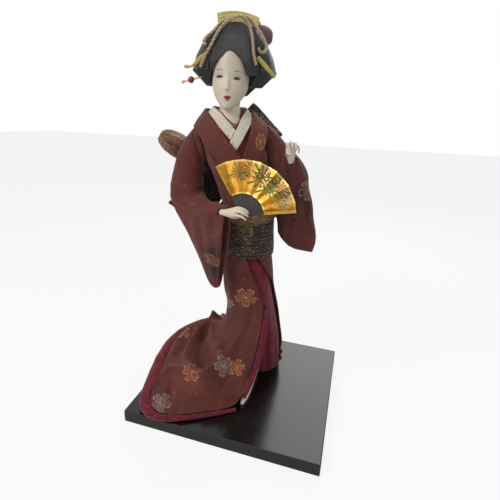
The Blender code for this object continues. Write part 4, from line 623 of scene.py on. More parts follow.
@dataclass(frozen=True)
class FaceFinish(SkinFinish):
    """The painted face: brows, eyes, lips and soft shade round them, on the ivory ground, with painted shade towards
    the top, round the nose and towards the sides.

    Places are sideways and up on the doll, in millimetres.
    """

    name: str = "painted_face"
    # Set darker than the hands' ivory, as painted shade over the whole face.
    base: Tint = (0.60, 0.535, 0.435)
    eye_right: tuple[float, float] = (-41.6, 381.0)
    eye_left: tuple[float, float] = (-23.8, 379.6)
    eye_half: float = 3.5
    brow_lift: float = 7.0
    mouth: tuple[float, float] = (-33.2, 361.6)

    def _oval(self, p: Paint, at: tuple[float, float], half: tuple[float, float], lean: float = 0.0) -> Value:
        """Squared distance from a leaning oval's middle, 1 on its edge."""
        x, z = p.place("x") - at[0], p.place("z") - at[1]
        c, s = math.cos(lean), math.sin(lean)
        a, b = (x * c + z * s) * (1 / half[0]), (z * c - x * s) * (1 / half[1])
        return a * a + b * b

    def _arc(
        self, p: Paint, at: tuple[float, float], half: float, rise: float, thick: float, lean: float = 0.0
    ) -> Value:
        """A mask of a brush line that rises in the middle and thins to both ends."""
        x, z = p.place("x") - at[0], p.place("z") - at[1]
        c, s = math.cos(lean), math.sin(lean)
        a, b = (x * c + z * s) * (1 / half), z * c - x * s
        swell = (1 - a * a).most(0.0)
        off = (b - swell * rise).size() / (swell * thick + 0.05)
        return off.step(1.15, 0.55) * swell.step(0.0, 0.25)

    def make(self) -> bpy.types.Material:
        """The face's material."""
        p = Paint(self.name)
        front = p.place("y").step(-2.0, -8.0)
        colour = self.ground(p)
        # Painted shade: the face grows darker towards its top.
        colour = p.mix(p.place("z").step(366.0, 400.0) * front * 0.45, colour, (0.33, 0.285, 0.22))
        for at, lean in ((self.eye_right, -0.05), (self.eye_left, 0.02)):
            shadow = self._oval(p, (at[0], at[1] + 2.2), (6.4, 4.4)).step(1.0, 0.0) * front
            colour = p.mix(shadow * 0.30, colour, (0.30, 0.21, 0.15))
            brow = self._arc(p, (at[0], at[1] + self.brow_lift - 0.6), 4.6, 0.9, 0.95, lean) * front
            hairs = p.noise(1.0, 1, 0.5, p.stretched(2600, 900, 900)).step(0.25, 0.6)
            colour = p.mix(brow * (0.30 + hairs * 0.30), colour, (0.10, 0.06, 0.04))
            lid = self._arc(p, (at[0], at[1] + 1.3), self.eye_half + 0.5, 1.35, 0.22, lean) * front
            colour = p.mix(lid * 0.5, colour, (0.24, 0.13, 0.085))
            slit = self._arc(p, (at[0], at[1] - 0.15), self.eye_half + 0.2, 0.5, 1.35, lean) * front
            colour = p.mix(slit, colour, (0.085, 0.062, 0.048))
            iris = self._oval(p, (at[0], at[1] + 0.25), (1.9, 1.8)).step(1.1, 0.8)
            colour = p.mix(slit * iris, colour, (0.008, 0.006, 0.006))
            lash = self._arc(p, (at[0], at[1] + 0.15), self.eye_half + 0.4, 1.35, 0.6, lean) * front
            colour = p.mix(lash, colour, (0.012, 0.008, 0.007))
            under = self._arc(p, (at[0], at[1] - 0.75), self.eye_half - 0.4, 0.2, 0.2, lean) * front
            colour = p.mix(under * 0.6, colour, (0.16, 0.09, 0.06))
        mx, mz = self.mouth
        bow = self._oval(p, (mx - 1.55, mz + 0.85), (2.35, 1.25), 0.35)
        upper = bow.least(self._oval(p, (mx + 1.55, mz + 0.8), (2.35, 1.25), -0.35)).step(1.1, 0.8)
        lower = self._oval(p, (mx, mz - 0.9), (2.15, 1.7)).step(1.1, 0.8)
        lips = upper.most(lower) * front
        warm = self._oval(p, (mx, mz - 0.2), (5.2, 4.2)).step(1.2, 0.2) * front
        colour = p.mix(warm * 0.16, colour, (0.55, 0.20, 0.14))
        colour = p.mix(lips, colour, p.mix(p.noise(1600, 2), (0.30, 0.018, 0.016), (0.20, 0.010, 0.012)))
        seam = self._arc(p, (mx, mz - 0.25), 3.3, 0.35, 0.28) * front
        colour = p.mix(seam * 0.85, colour, (0.05, 0.004, 0.005))
        nose_x = (self.eye_right[0] + self.eye_left[0]) / 2 - 0.6
        for side in (-1, 1):
            # Painted shade in the nostrils.
            nostril_shade = self._oval(p, (nose_x + side * 1.25, mz + 7.4), (0.8, 0.5)).step(1.2, 0.3) * front
            colour = p.mix(nostril_shade * 0.55, colour, (0.22, 0.10, 0.07))
        # Painted shade down one side of the nose.
        nose_side_shade = self._oval(p, (nose_x + 2.9, mz + 12.5), (1.5, 7.0), 0.08).step(1.2, 0.0) * front
        colour = p.mix(nose_side_shade * 0.30, colour, (0.36, 0.28, 0.205))
        # Painted shade under the tip of the nose.
        under_nose_shade = self._oval(p, (nose_x, mz + 6.2), (2.4, 1.2)).step(1.1, 0.0) * front
        colour = p.mix(under_nose_shade * 0.25, colour, (0.34, 0.25, 0.18))
        cheek = self._oval(p, (self.eye_right[0] - 1.5, mz + 6.5), (7, 6))
        cheek = cheek.least(self._oval(p, (self.eye_left[0] + 3, mz + 5.8), (7, 6)))
        colour = p.mix(cheek.step(1.0, 0.0) * front * 0.10, colour, (0.72, 0.36, 0.26))
        # Painted shade towards both sides of the face.
        side = (p.place("x") - (nose_x + 1.5)).size().step(11.0, 23.0)
        colour = p.mix(side * 0.35, colour, (0.36, 0.29, 0.22))
        return p.done(
            Base_Color=colour,
            Roughness=0.40 + p.noise(300, 2) * 0.1 - lips * 0.12,
            Normal=p.bump(p.noise(1400, 3, 0.6), 0.00005),
            Subsurface_Weight=0.06,
            Subsurface_Radius=(0.004, 0.002, 0.001),
        )


FAN_PIVOT: Point = (-14, -62, 249)


@dataclass(frozen=True)
class FanLeafFinish:
    """Gold-leafed fan paper with sprays of pine needles, laid out round the fan's rivet, and painted light and shade on
    alternate pleats.
    """

    pivot: Point = FAN_PIVOT
    lean: float = math.radians(10)
    sprays: tuple[tuple[float, float, float], ...] = (
        (63, 42, 14), (48, 38, 12), (80, 46, 11), (36, 46, 11), (55, 50, 10), (97, 43, 9), (22, 40, 8),
    )

    def make(self) -> bpy.types.Material:
        """The fan leaf's material."""
        p = Paint("gold_leaf_paper")
        x = p.place("x") - self.pivot[0]
        z = (p.place("z") - self.pivot[2]) * (1 / math.cos(self.lean))
        angle = p.number("ShaderNodeMath", {"operation": "ARCTAN2"}, {0: z, 1: x})
        reach = (x * x + z * z).root()
        foil = p.noise(150, 3, 0.6)
        square = p.grain(70, p.stretched(1, 1, 1))
        gold = p.node(
            "ShaderNodeValToRGB",
            {"stops": ((0.25, (0.34, 0.12, 0.012)), (0.5, (0.60, 0.27, 0.022)), (0.75, (0.84, 0.52, 0.06)))},
            {0: foil * 0.8 + square * 0.2},
        ).outputs[0]
        silver = p.noise(52, 2).step(0.56, 0.68) * reach.step(34, 46)
        colour = p.mix(silver * 0.45, gold, (0.42, 0.40, 0.34))
        needles = None
        for degrees, out, size in self.sprays:
            cx, cz = out * math.cos(math.radians(degrees)), out * math.sin(math.radians(degrees))
            a, b = x - cx, z - cz
            spin = p.number("ShaderNodeMath", {"operation": "ARCTAN2"}, {0: b, 1: a})
            far = (a * a + b * b).root() * (1 / size)
            spray = (spin * 13.0).sine().step(0.1, 0.65) * (far - (1 - (spin * 2.6).sine() * 0.25)).step(0.05, -0.12)
            needles = spray if needles is None else needles.most(spray)
        tone = p.mix(p.noise(110, 2).step(0.4, 0.6), (0.012, 0.075, 0.028), (0.055, 0.20, 0.05))
        colour = p.mix(needles * 0.92, colour, tone)
        # Painted light and shade: alternate pleats are made lighter and darker.
        fold = ((angle - math.radians(5)) * (6 / math.radians(115)) * 2 * math.pi).sine()
        colour = p.shade(colour, 0.80 + fold.step(-0.5, 0.5) * 0.35)
        rim = reach.step(53.2, 54.0).most(reach.step(23.6, 22.8))
        colour = p.mix(rim * 0.8, colour, (0.85, 0.60, 0.14))
        return p.done(
            Base_Color=colour,
            Metallic=0.72 - needles * 0.6,
            Roughness=0.30 + foil * 0.14 + needles * 0.2,
            Normal=p.bump(foil * 0.7 + p.noise(900, 2) * 0.3, 0.00035),
        )


@dataclass(frozen=True)
class GuardFinish:
    """The fan's outer sticks: black bamboo at the ribs, and gold paper with a dark line where the leaf is glued on."""

    pivot: Point = FAN_PIVOT

    def make(self) -> bpy.types.Material:
        """The outer sticks' material."""
        p = Paint("gilded_stick")
        x, z = p.place("x") - self.pivot[0], p.place("z") - self.pivot[2]
        reach = (x * x + z * z).root()
        grain = p.noise(1.0, 4, 0.65, p.stretched(900, 900, 220))
        wood = p.mix(grain.step(0.35, 0.7), (0.010, 0.008, 0.007), (0.055, 0.035, 0.022))
        foil = p.noise(150, 3, 0.6)
        gold = p.mix(foil, (0.42, 0.19, 0.025), (0.80, 0.52, 0.08))
        on = reach.step(21.5, 22.5)
        edge = p.noise(300, 2).step(0.45, 0.6)
        colour = p.mix(on, wood, p.mix(edge * 0.35, gold, (0.06, 0.03, 0.012)))
        relief = p.bump(grain * 0.5 + foil * 0.4, 0.00015)
        return p.done(Base_Color=colour, Metallic=on * 0.7, Roughness=0.42 - on * 0.08, Normal=relief)


@dataclass(frozen=True)
class MetalFinish:
    """Bright or gilt metal with fine rubbing marks."""

    name: str
    base: Tint
    rough: float = 0.3
    metallic: float = 1.0

    def make(self) -> bpy.types.Material:
        """The metal's material."""
        p = Paint(self.name)
        wear = p.noise(400, 3)
        colour = p.mix(wear, self.base, tuple(c * 0.72 for c in self.base))
        return p.done(
            Base_Color=colour,
            Metallic=self.metallic,
            Roughness=wear * 0.2 + self.rough,
            Normal=p.bump(p.noise(1800, 2), 0.00004),
        )


@dataclass(frozen=True)
class CombFinish:
    """Olive-yellow lacquered comb with a paler line round its edge; places in millimetres on the doll."""

    middle: float = -24.5
    top: float = 446.2
    arching: float = 0.0068

    def make(self) -> bpy.types.Material:
        """The comb's material."""
        p = Paint("comb_lacquer")
        across, z = p.place("x") - self.middle, p.place("z")
        cloud = p.noise(60, 3)
        colour = p.mix(cloud, (0.50, 0.43, 0.085), (0.36, 0.30, 0.05))
        arch = z - (self.top - across * across * self.arching)
        line = arch.bell(-3.6, 0.8).most(across.size().bell(18.4, 0.8) * z.step(446, 440))
        colour = p.mix(line * 0.7, colour, (0.72, 0.66, 0.26))
        speck = p.grain(900).step(0.9, 0.96)
        colour = p.mix(speck * 0.3, colour, (0.75, 0.68, 0.28))
        return p.done(
            Base_Color=colour,
            Roughness=0.26 + cloud * 0.12,
            Coat_Weight=0.4,
            Coat_Roughness=0.15,
            Normal=p.bump(cloud + line * 0.4, 0.0002),
        )


@dataclass(frozen=True)
class CordFinish:
    """Two-ply cord of beige and pink-gold thread."""

    def make(self) -> bpy.types.Material:
        """The cord's material; "ply" tells one strand from the other and "thread" runs along each."""
        p = Paint("twisted_cord")
        ply, thread = p.attribute("ply"), p.attribute("thread")
        fine = (thread * 6.283).sine()
        colour = p.mix(ply.step(0.35, 0.65), (0.62, 0.50, 0.34), (0.50, 0.33, 0.23))
        colour = p.mix(fine.step(0.0, 0.9) * 0.5, colour, (0.12, 0.06, 0.035))
        colour = p.mix(p.noise(1500, 2).step(0.6, 0.75) * 0.5, colour, (0.78, 0.62, 0.42))
        relief = p.bump(fine * 0.5 + p.noise(1800, 2), 0.00025)
        return p.done(Base_Color=colour, Roughness=0.5 + fine * 0.08, Metallic=0.15, Normal=relief)


@dataclass(frozen=True)
class WoodFinish:
    """Dark stained wood or bamboo with its grain along the piece."""

    name: str
    dark: Tint
    light: Tint

    def make(self) -> bpy.types.Material:
        """The wood's material."""
        p = Paint(self.name)
        grain = p.noise(1.0, 4, 0.65, p.stretched(900, 900, 220))
        colour = p.mix(grain.step(0.35, 0.7), self.dark, self.light)
        return p.done(Base_Color=colour, Roughness=0.38 + grain * 0.2, Normal=p.bump(grain, 0.00012), Coat_Weight=0.15)


@dataclass(frozen=True)
class SilkFinish:
    """Plain woven silk of one colour family."""

    name: str
    base: Tint
    light: Tint
    scale: float = 2200

    def make(self) -> bpy.types.Material:
        """The silk's material."""
        p = Paint(self.name)
        rib = p.noise(1.0, 2, 0.6, p.stretched(self.scale, self.scale * 0.3, self.scale * 0.2))
        cloud = p.noise(70, 3)
        colour = p.mix(cloud * 0.6 + rib * 0.4, self.base, self.light)
        return p.done(Base_Color=colour, Roughness=0.55 + rib * 0.2, Normal=p.bump(rib, 0.00025), Sheen_Weight=0.2)


@dataclass(frozen=True)
class RollFinish:
    """The sash's puffed loop: copper strokes along it, on black."""

    def make(self) -> bpy.types.Material:
        """The roll's material; "spoke" counts round the roll and "along" along it."""
        p = Paint("copper_roll_cloth")
        spoke, along = p.attribute("spoke"), p.attribute("along")
        lines = p.number("ShaderNodeCombineXYZ", {}, {0: spoke * 42, 1: along * 0.5, 2: 0.0})
        stroke = p.noise(1.0, 2, 0.6, lines.socket).step(0.44, 0.6)
        bits = p.grain(1300).step(0.3, 0.7)
        bright = p.mix(bits, (0.42, 0.17, 0.09), (0.80, 0.46, 0.28))
        colour = p.mix(stroke, (0.030, 0.018, 0.016), bright)
        relief = p.bump(stroke + bits * 0.3, 0.0004)
        return p.done(Base_Color=colour, Metallic=stroke * 0.7, Roughness=0.6 - stroke * 0.25, Normal=relief)


# Mesh tools


def clear_selection() -> None:
    """Deselects every object."""
    for other in bpy.context.selected_objects:
        other.select_set(False)


def choose(piece: bpy.types.Object) -> None:
    """Makes a piece the only selected and the active one."""
    clear_selection()
    piece.select_set(True)
    bpy.context.view_layer.objects.active = piece


def apply_all(piece: bpy.types.Object) -> None:
    """Applies every modifier of a piece, in order."""
    choose(piece)
    for modifier in list(piece.modifiers):
        bpy.ops.object.modifier_apply(modifier=modifier.name)


def points_of(piece: bpy.types.Object) -> np.ndarray:
    """A piece's points, in metres."""
    found = np.empty(len(piece.data.vertices) * 3)
    piece.data.vertices.foreach_get("co", found)
    return found.reshape(-1, 3)


def normals_of(piece: bpy.types.Object) -> np.ndarray:
    """A piece's point normals."""
    found = np.empty(len(piece.data.vertices) * 3)
    piece.data.vertices.foreach_get("normal", found)
    return found.reshape(-1, 3)


def move_points(piece: bpy.types.Object, places: np.ndarray) -> None:
    """Puts a piece's points at new places."""
    piece.data.vertices.foreach_set("co", places.reshape(-1))
    piece.data.update()


def carry(piece: bpy.types.Object, name: str, values: np.ndarray) -> None:
    """Stores a number at each point of a piece for its material."""
    made = piece.data.attributes.new(name, "FLOAT", "POINT")
    made.data.foreach_set("value", np.asarray(values, np.float32))


def new_piece(name: str, mesh: bpy.types.Mesh) -> bpy.types.Object:
    """A mesh as an object of the scene."""
    made = bpy.data.objects.new(name, mesh)
    bpy.context.scene.collection.objects.link(made)
    return made


def calm(piece: bpy.types.Object, times: int, share: float = 0.5, crisp: float = 50.0, hold: bool = False) -> None:
    """Evens out a surface: a point moves towards its neighbours' middle, one on a crisp edge only along it.

    Args:
        piece: the object.
        times: how often.
        share: how far each time.
        crisp: the angle in degrees from which an edge is kept.
        hold: leaves the points of crisp edges where they are.
    """
    bm = bmesh.new()
    bm.from_mesh(piece.data)
    bm.edges.index_update()
    limit = math.radians(crisp)
    ends = np.array([[v.index for v in e.verts] for e in bm.edges])
    held = np.array([len(e.link_faces) != 2 or e.calc_face_angle(0.0) > limit for e in bm.edges])
    bm.free()
    where = points_of(piece)
    count = len(where)
    on_edge = np.zeros(count, bool)
    on_edge[ends[held].reshape(-1)] = True
    use = held | ~(on_edge[ends[:, 0]] | on_edge[ends[:, 1]])
    loose = ends[~held & ~(on_edge[ends[:, 0]] & on_edge[ends[:, 1]])]
    inward = [(b, a) if on_edge[a] else (a, b) for a, b in loose if on_edge[a] != on_edge[b]]
    pairs = np.vstack([ends[use], ends[use][:, ::-1], np.array(inward, int).reshape(-1, 2)])
    weight = np.bincount(pairs[:, 0], minlength=count).astype(float)
    corner = on_edge & (np.bincount(ends[held].reshape(-1), minlength=count) != 2)
    move = (weight > 0) & ~(on_edge if hold else corner)
    for _ in range(times):
        total = np.column_stack([np.bincount(pairs[:, 0], where[pairs[:, 1], k], minlength=count) for k in range(3)])
        mean = total[move] / weight[move, None]
        where[move] += (mean - where[move]) * share
    move_points(piece, where)


def soft_copy(
    name: str, nodes: Sequence[str], edge: float, crisp: float, levels: int, times: int, hold: bool = False
) -> bpy.types.Object:
    """A finer, rounded piece from plain solids.

    Args:
        name: the new piece's name.
        nodes: the solids it stands for.
        edge: the length in millimetres that its edges come down to.
        crisp: the angle in degrees from which an edge stays sharp.
        levels: how often it is rounded by subdivision.
        times: how often it is evened out afterwards.
        hold: keeps the points of its sharp edges in place meanwhile.
    Returns:
        The piece, which stands for its nodes.
    """
    bm = bmesh.new()
    for node in nodes:
        bm.from_mesh(bpy.data.objects[NODES[node]].data)
    bmesh.ops.remove_doubles(bm, verts=bm.verts, dist=1e-6)
    flat, square = math.radians(25), math.radians(70)
    bmesh.ops.join_triangles(bm, faces=bm.faces, angle_face_threshold=flat, angle_shape_threshold=square)
    crease = bm.edges.layers.float.new("crease_edge")
    for e in bm.edges:
        if len(e.link_faces) == 2 and e.calc_face_angle(0.0) > math.radians(crisp):
            e[crease] = 1.0
    mesh = bpy.data.meshes.new(name)
    bm.to_mesh(mesh)
    bm.free()
    made = new_piece(name, mesh)
    if levels:
        rounding = made.modifiers.new("round", "SUBSURF")
        rounding.levels = rounding.render_levels = levels
        apply_all(made)
    bm = bmesh.new()
    bm.from_mesh(made.data)
    for _ in range(7):
        bmesh.ops.triangulate(bm, faces=[f for f in bm.faces if len(f.verts) > 3])
        long = [e for e in bm.edges if e.calc_length() > edge * MM * 1.4]
        if not long:
            break
        bmesh.ops.subdivide_edges(bm, edges=long, cuts=1)
    bmesh.ops.triangulate(bm, faces=[f for f in bm.faces if len(f.verts) > 3])
    bm.to_mesh(made.data)
    bm.free()
    if times:
        calm(made, times, crisp=crisp, hold=hold)
    return made


def finish_piece(
    piece: bpy.types.Object, material: bpy.types.Material, slot: Slot, nodes: Sequence[str] = (), angle: float = 45.0
) -> bpy.types.Object:
    """Dresses a piece, lets it ride on the doll and hides what it stands for.

    Args:
        piece: the object.
        material: its finish.
        slot: the record's slot for it; not used.
        nodes: the plain solids it replaces.
        angle: edges sharper than this many degrees stay sharp in the shading.
    Returns:
        The piece.
    """
    piece.data.materials.clear()
    piece.data.materials.append(material)
    choose(piece)
    bpy.ops.object.shade_smooth_by_angle(angle=math.radians(angle))
    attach(piece, "root")
    if nodes:
        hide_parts(*nodes)
    log.info("%s: %d faces", piece.name, len(piece.data.polygons))
    return piece


def keep_node(node: str, material: bpy.types.Material) -> None:
    """Gives a solid whose shape is right its finish."""
    solid = bpy.data.objects[NODES[node]]
    for place_in in solid.material_slots:
        place_in.material = material
    if not solid.material_slots:
        solid.data.materials.append(material)
    log.info("%s keeps its shape", node)


def near_line(points: np.ndarray, line: Sequence[Sequence[float]]) -> np.ndarray:
    """Distance of points from a line of straight stretches."""
    line = np.asarray(line, float)
    best = np.full(len(points), 1e9)
    for a, b in zip(line[:-1], line[1:]):
        run = b - a
        share = np.clip(((points - a) @ run) / (run @ run), 0, 1)
        best = np.minimum(best, np.linalg.norm(points - (a + share[:, None] * run), axis=1))
    return best


def smooth_line(points: Sequence[Sequence[float]], count: int) -> np.ndarray:
    """A smooth curve through points, evenly spaced by length."""
    p = np.asarray(points, float)
    p = np.vstack([2 * p[0] - p[1], p, 2 * p[-1] - p[-2]])
    dense = []
    for k in range(1, len(p) - 2):
        for t in np.linspace(0, 1, 16, endpoint=k == len(p) - 3):
            a, b, c, d = p[k - 1 : k + 3]
            square, cube = 2 * a - 5 * b + 4 * c - d, 3 * b - a - 3 * c + d
            dense.append(0.5 * (2 * b + (c - a) * t + square * t * t + cube * t**3))
    dense = np.array(dense)
    run = np.concatenate([[0], np.cumsum(np.linalg.norm(np.diff(dense, axis=0), axis=1))])
    return np.column_stack([np.interp(np.linspace(0, run[-1], count), run, dense[:, k]) for k in range(dense.shape[1])])


def ripple(points: np.ndarray, scale: float, seed: float = 0.0) -> np.ndarray:
    """Smooth wandering waves from -1 to 1 over points in millimetres."""
    x, y, z = (points / scale + seed).T
    return (
        np.sin(1.7 * x + 1.3 * np.sin(1.1 * z + 0.5)) * np.cos(1.3 * z + 0.9 * np.sin(1.9 * y))
        + 0.6 * np.sin(2.9 * z + 1.7 * y + np.sin(2.3 * x))
        + 0.4 * np.cos(3.7 * x - 2.1 * y + 1.1 * z)
    ) / 2.0


@dataclass(frozen=True)
class Crease:
    """A fold of cloth, in millimetres: its line, how deep it goes (or stands, if negative) and its half width."""

    line: tuple[tuple[float, float], ...]
    depth: float
    half: float


def press(piece: bpy.types.Object, creases: Sequence[Crease], waves: float, scale: float, seed: float) -> None:
    """Lays folds and a light unevenness into a piece of cloth along its normals.

    Args:
        piece: the object.
        creases: folds, by their lines on the doll's front.
        waves: height in millimetres of the unevenness.
        scale: its size in millimetres.
        seed: moves its pattern.
    """
    where, normals = DOLL.back(points_of(piece)), normals_of(piece)
    facing = -(normals[:, 0] * -math.sin(DOLL.turn) + normals[:, 1] * math.cos(DOLL.turn))
    lift = waves * ripple(where, scale, seed)
    flat = where[:, [0, 2]]
    for fold in creases:
        far = near_line(flat, fold.line) / fold.half
        shoulder = np.exp(-((far - 2.2) ** 2)) * 0.45
        lift += (shoulder - np.exp(-(far**2))) * fold.depth * np.clip(facing * 1.6, 0, 1)
    move_points(piece, points_of(piece) + normals * (lift * MM)[:, None])


def heap(piece: bpy.types.Object, folds: Sequence[Crease], low: float, high: float) -> None:
    """Lifts folds into cloth that lies, seen from above; both sides of the sheet move together.

    Args:
        piece: the object.
        folds: their lines sideways and front to back, in millimetres; a negative depth makes a ridge.
        low: the height from which they begin.
        high: the height at which they have faded out.
    """
    where = DOLL.back(points_of(piece))
    ground = where[:, :2]
    share = np.clip((where[:, 2] - low) / 6, 0, 1) * np.clip((high - where[:, 2]) / 30, 0, 1)
    lift = np.zeros(len(where))
    for fold in folds:
        far = near_line(ground, smooth_line(fold.line, 16)) / fold.half
        lift -= fold.depth * np.exp(-(far**2)) * np.clip(1.15 - 0.35 * np.abs(ripple(where, 17.0)), 0.5, 1.2)
    towards = DOLL.out([(-0.25, -0.35, 0.9)])[0] - DOLL.out([(0, 0, 0)])[0]
    towards /= np.linalg.norm(towards)
    move_points(piece, points_of(piece) + (lift * share * MM)[:, None] * towards)


def rounded_tube(name: str, path: np.ndarray, radius: np.ndarray | float, sides: int = 10) -> bpy.types.Object:
    """A thin round piece of trim along a path in metres, closed at both ends.

    Args:
        name: its name.
        path: the points that it follows.
        radius: its radius, one number or one for each point.
        sides: how many faces go round it.
    Returns:
        The object.
    """
    radius = np.broadcast_to(radius, (len(path),))
    tangents = np.gradient(path, axis=0)
    tangents /= np.linalg.norm(tangents, axis=1)[:, None]
    side = np.cross(tangents[0], (0.3, 0.2, 1.0))
    bm = bmesh.new()
    rings = []
    for at, along, r in zip(path, tangents, radius):
        side = side - along * (side @ along)
        side /= np.linalg.norm(side)
        up = np.cross(along, side)
        angles = np.linspace(0, 2 * math.pi, sides, endpoint=False)
        rings.append([bm.verts.new(at + (side * math.cos(a) + up * math.sin(a)) * r) for a in angles])
    for low, high in zip(rings, rings[1:]):
        for k in range(sides):
            bm.faces.new((low[k], low[(k + 1) % sides], high[(k + 1) % sides], high[k]))
    bm.faces.new(rings[0][::-1])
    bm.faces.new(rings[-1])
    bmesh.ops.recalc_face_normals(bm, faces=bm.faces)
    mesh = bpy.data.meshes.new(name)
    bm.to_mesh(mesh)
    bm.free()
    return new_piece(name, mesh)


def padded_piece(
    name: str,
    node: str,
    shape: tuple[float | bool, ...],
    swell: tuple[float, float, float],
    dress: tuple[bpy.types.Material, Slot],
    fill: float,
    creases: Sequence[Crease] = (),
) -> bpy.types.Object:
    """A padded piece of cloth made from one plain solid.

    Args:
        name: its name.
        node: the solid that it stands for.
        shape: what soft_copy takes after the nodes: edge, crisp, levels, times and hold.
        swell: what press takes after the creases: the waves' height, their size and their seed.
        dress: its material and the record's slot.
        fill: how full of padding it is; not used.
        creases: its folds.
    Returns:
        The piece.
    """
    piece = soft_copy(name, [node], *shape)
    press(piece, creases, *swell)
    finish_piece(piece, *dress, [node])
    return piece


def onto(
    surface: Sequence[bpy.types.Object], route: Sequence[tuple[float, float]], lift: float, count: int = 60
) -> np.ndarray:
    """A route seen from the doll's front, laid on the nearest surface there.

    Args:
        surface: the pieces it lies on.
        route: places across and up, in millimetres.
        lift: how far it stands off, in millimetres.
        count: how many points it gets.
    Returns:
        Points in metres.
    """
    meshes = [piece.data for piece in surface]
    trees = [BVHTree.FromPolygons([v.co for v in m.vertices], [p.vertices for p in m.polygons]) for m in meshes]
    ahead = Vector(DOLL.out([(0, 1, 0)])[0] - DOLL.out([(0, 0, 0)])[0]).normalized()
    line = smooth_line(route, count)
    found = []
    for x, z in line:
        start = Vector(DOLL.out([(x, -130, z)])[0])
        hits = [h for h in (t.ray_cast(start, ahead) for t in trees) if h[0] is not None]
        if hits:
            at, normal, _, _ = min(hits, key=lambda h: h[3])
            found.append(np.array(at + normal * lift * MM))
    even = np.array(found)
    for _ in range(3):
        even[1:-1] = (even[:-2] + even[1:-1] * 2 + even[2:]) / 4
    return even


NODES: dict[str, str] = {}


# Sub-assemblies


@dataclass
class Board:
    """The lacquered board and what stands in it."""

    foot_edge: float = 1.2

    def build(self) -> None:
        """Dresses the board, the leg wires and the feet."""
        keep_node("base_board", LacquerFinish().make())
        wire = MetalFinish("leg_steel", (0.42, 0.42, 0.43), 0.34).make()
        for side in ("left", "right"):
            keep_node(f"leg_wire_{side}", wire)
        white = SkinFinish("white_sock", (0.70, 0.66, 0.58)).make()
        for side in ("left", "right"):
            foot = soft_copy(f"sock_foot_{side}", [f"foot_{side}"], self.foot_edge, 70, 2, 3)
            finish_piece(foot, white, Slot.SKIN, [f"foot_{side}"])


@dataclass
class Core:
    """Straw body and wire arms inside the clothes."""

    def build(self) -> None:
        """Dresses what the clothes hide."""
        straw = WoodFinish("bound_straw", (0.30, 0.22, 0.11), (0.60, 0.48, 0.28)).make()
        for node in ("torso_core", "arm_left", "arm_right"):
            keep_node(node, straw)


@dataclass
class Head:
    """The cast head with its painted face."""

    edge: float = 0.9

    def build(self) -> bpy.types.Object:
        """Builds the head.

        Returns:
            The head's piece.
        """
        head = soft_copy("doll_head", ["head"], self.edge, 120, 2, 5)
        self._model_features(head)
        return finish_piece(head, FaceFinish().make(), Slot.SKIN, ["head"], 80)

    def _model_features(self, head: bpy.types.Object) -> None:
        """Raises the nose, lips and lids a little from the cast."""
        where, normals = DOLL.back(points_of(head)), normals_of(head)
        facing = np.clip(-(normals[:, 0] * -math.sin(DOLL.turn) + normals[:, 1] * math.cos(DOLL.turn)) * 1.4, 0, 1)
        x, z = where[:, 0], where[:, 2]

        def mound(cx: float, cz: float, wx: float, wz: float) -> np.ndarray:
            """A soft mound about one place of the face."""
            return np.exp(-(((x - cx) / wx) ** 2) - ((z - cz) / wz) ** 2)

        lift = 0.9 * mound(-34.2, 370.4, 1.9, 1.9) + 0.5 * mound(-33.4, 376, 1.3, 5)
        lift -= 0.55 * (mound(-35.9, 369.0, 0.8, 0.6) + mound(-32.3, 368.9, 0.8, 0.6))
        lift += 0.55 * mound(-33.3, 362.6, 3.0, 0.9) + 0.6 * mound(-33.2, 360.3, 2.2, 1.1)
        lift -= 0.6 * mound(-33.2, 361.4, 3.2, 0.35)
        lift -= 0.45 * mound(-33.2, 357.8, 2.6, 1.2)
        for cx, cz in ((-41.6, 381.0), (-23.8, 379.6)):
            lift += 0.35 * mound(cx, cz + 1.9, 4.0, 1.0) + 0.2 * mound(cx, cz - 1.2, 3.2, 0.8)
            lift -= 0.35 * mound(cx, cz + 0.2, 3.4, 0.55)
        move_points(head, points_of(head) + normals * (lift * facing * MM)[:, None])


@dataclass
class Hands:
    """Both hands, in ivory gofun."""

    edge: float = 0.7

    def build(self) -> None:
        """Builds the hands."""
        skin = SkinFinish().make()
        for side in ("left", "right"):
            hand = soft_copy(f"doll_hand_{side}", [f"hand_{side}"], self.edge, 150, 1, 4)
            finish_piece(hand, skin, Slot.SKIN, [f"hand_{side}"], 80)


@dataclass
class Hair:
    """The wig's four parts and the bun with its ribbon."""

    middle: Point = (-26.5, 9, 418)

    def _comb_lines(self, piece: bpy.types.Object, upright: bool = True) -> None:
        """Gives a piece its combing lines and a fine relief along them."""
        where, normals = DOLL.back(points_of(piece)), normals_of(piece)
        off = where - self.middle
        if upright:
            strand = np.arctan2(off[:, 0], -off[:, 1]) * 9
            along = off[:, 2] / 10
        else:
            strand = off[:, 2] / 2.6
            along = off[:, 0] / 10
        carry(piece, "strand", strand)
        carry(piece, "along", along)
        lift = 0.16 * np.sin(strand * 11 + 2.2 * np.sin(along * 0.9)) + 0.10 * np.sin(strand * 23 + along)
        move_points(piece, points_of(piece) + normals * (lift * MM)[:, None])

    def build(self) -> None:
        """Builds the hair."""
        finish = HairFinish().make()
        for name in ("hair_front", "hair_wing_left", "hair_wing_right", "hair_back"):
            lobe = soft_copy(f"combed_{name}", [name], 1.1, 38, 0, 26, True)
            self._comb_lines(lobe)
            finish_piece(lobe, finish, Slot.HAIR, [name], 60)
        bun = soft_copy("combed_hair_bun", ["hair_bun"], 1.1, 75, 1, 6)
        self._comb_lines(bun, False)
        finish_piece(bun, finish, Slot.HAIR, ["hair_bun"], 60)
        silk = SilkFinish("purple_ribbon_silk", (0.055, 0.012, 0.022), (0.21, 0.07, 0.095)).make()
        padded_piece(
            "silk_bun_ribbon", "bun_ribbon", (1.2, 70, 1, 6), (0.35, 5.0, 2.0), (silk, Slot.PURPLE), 0.7
        )


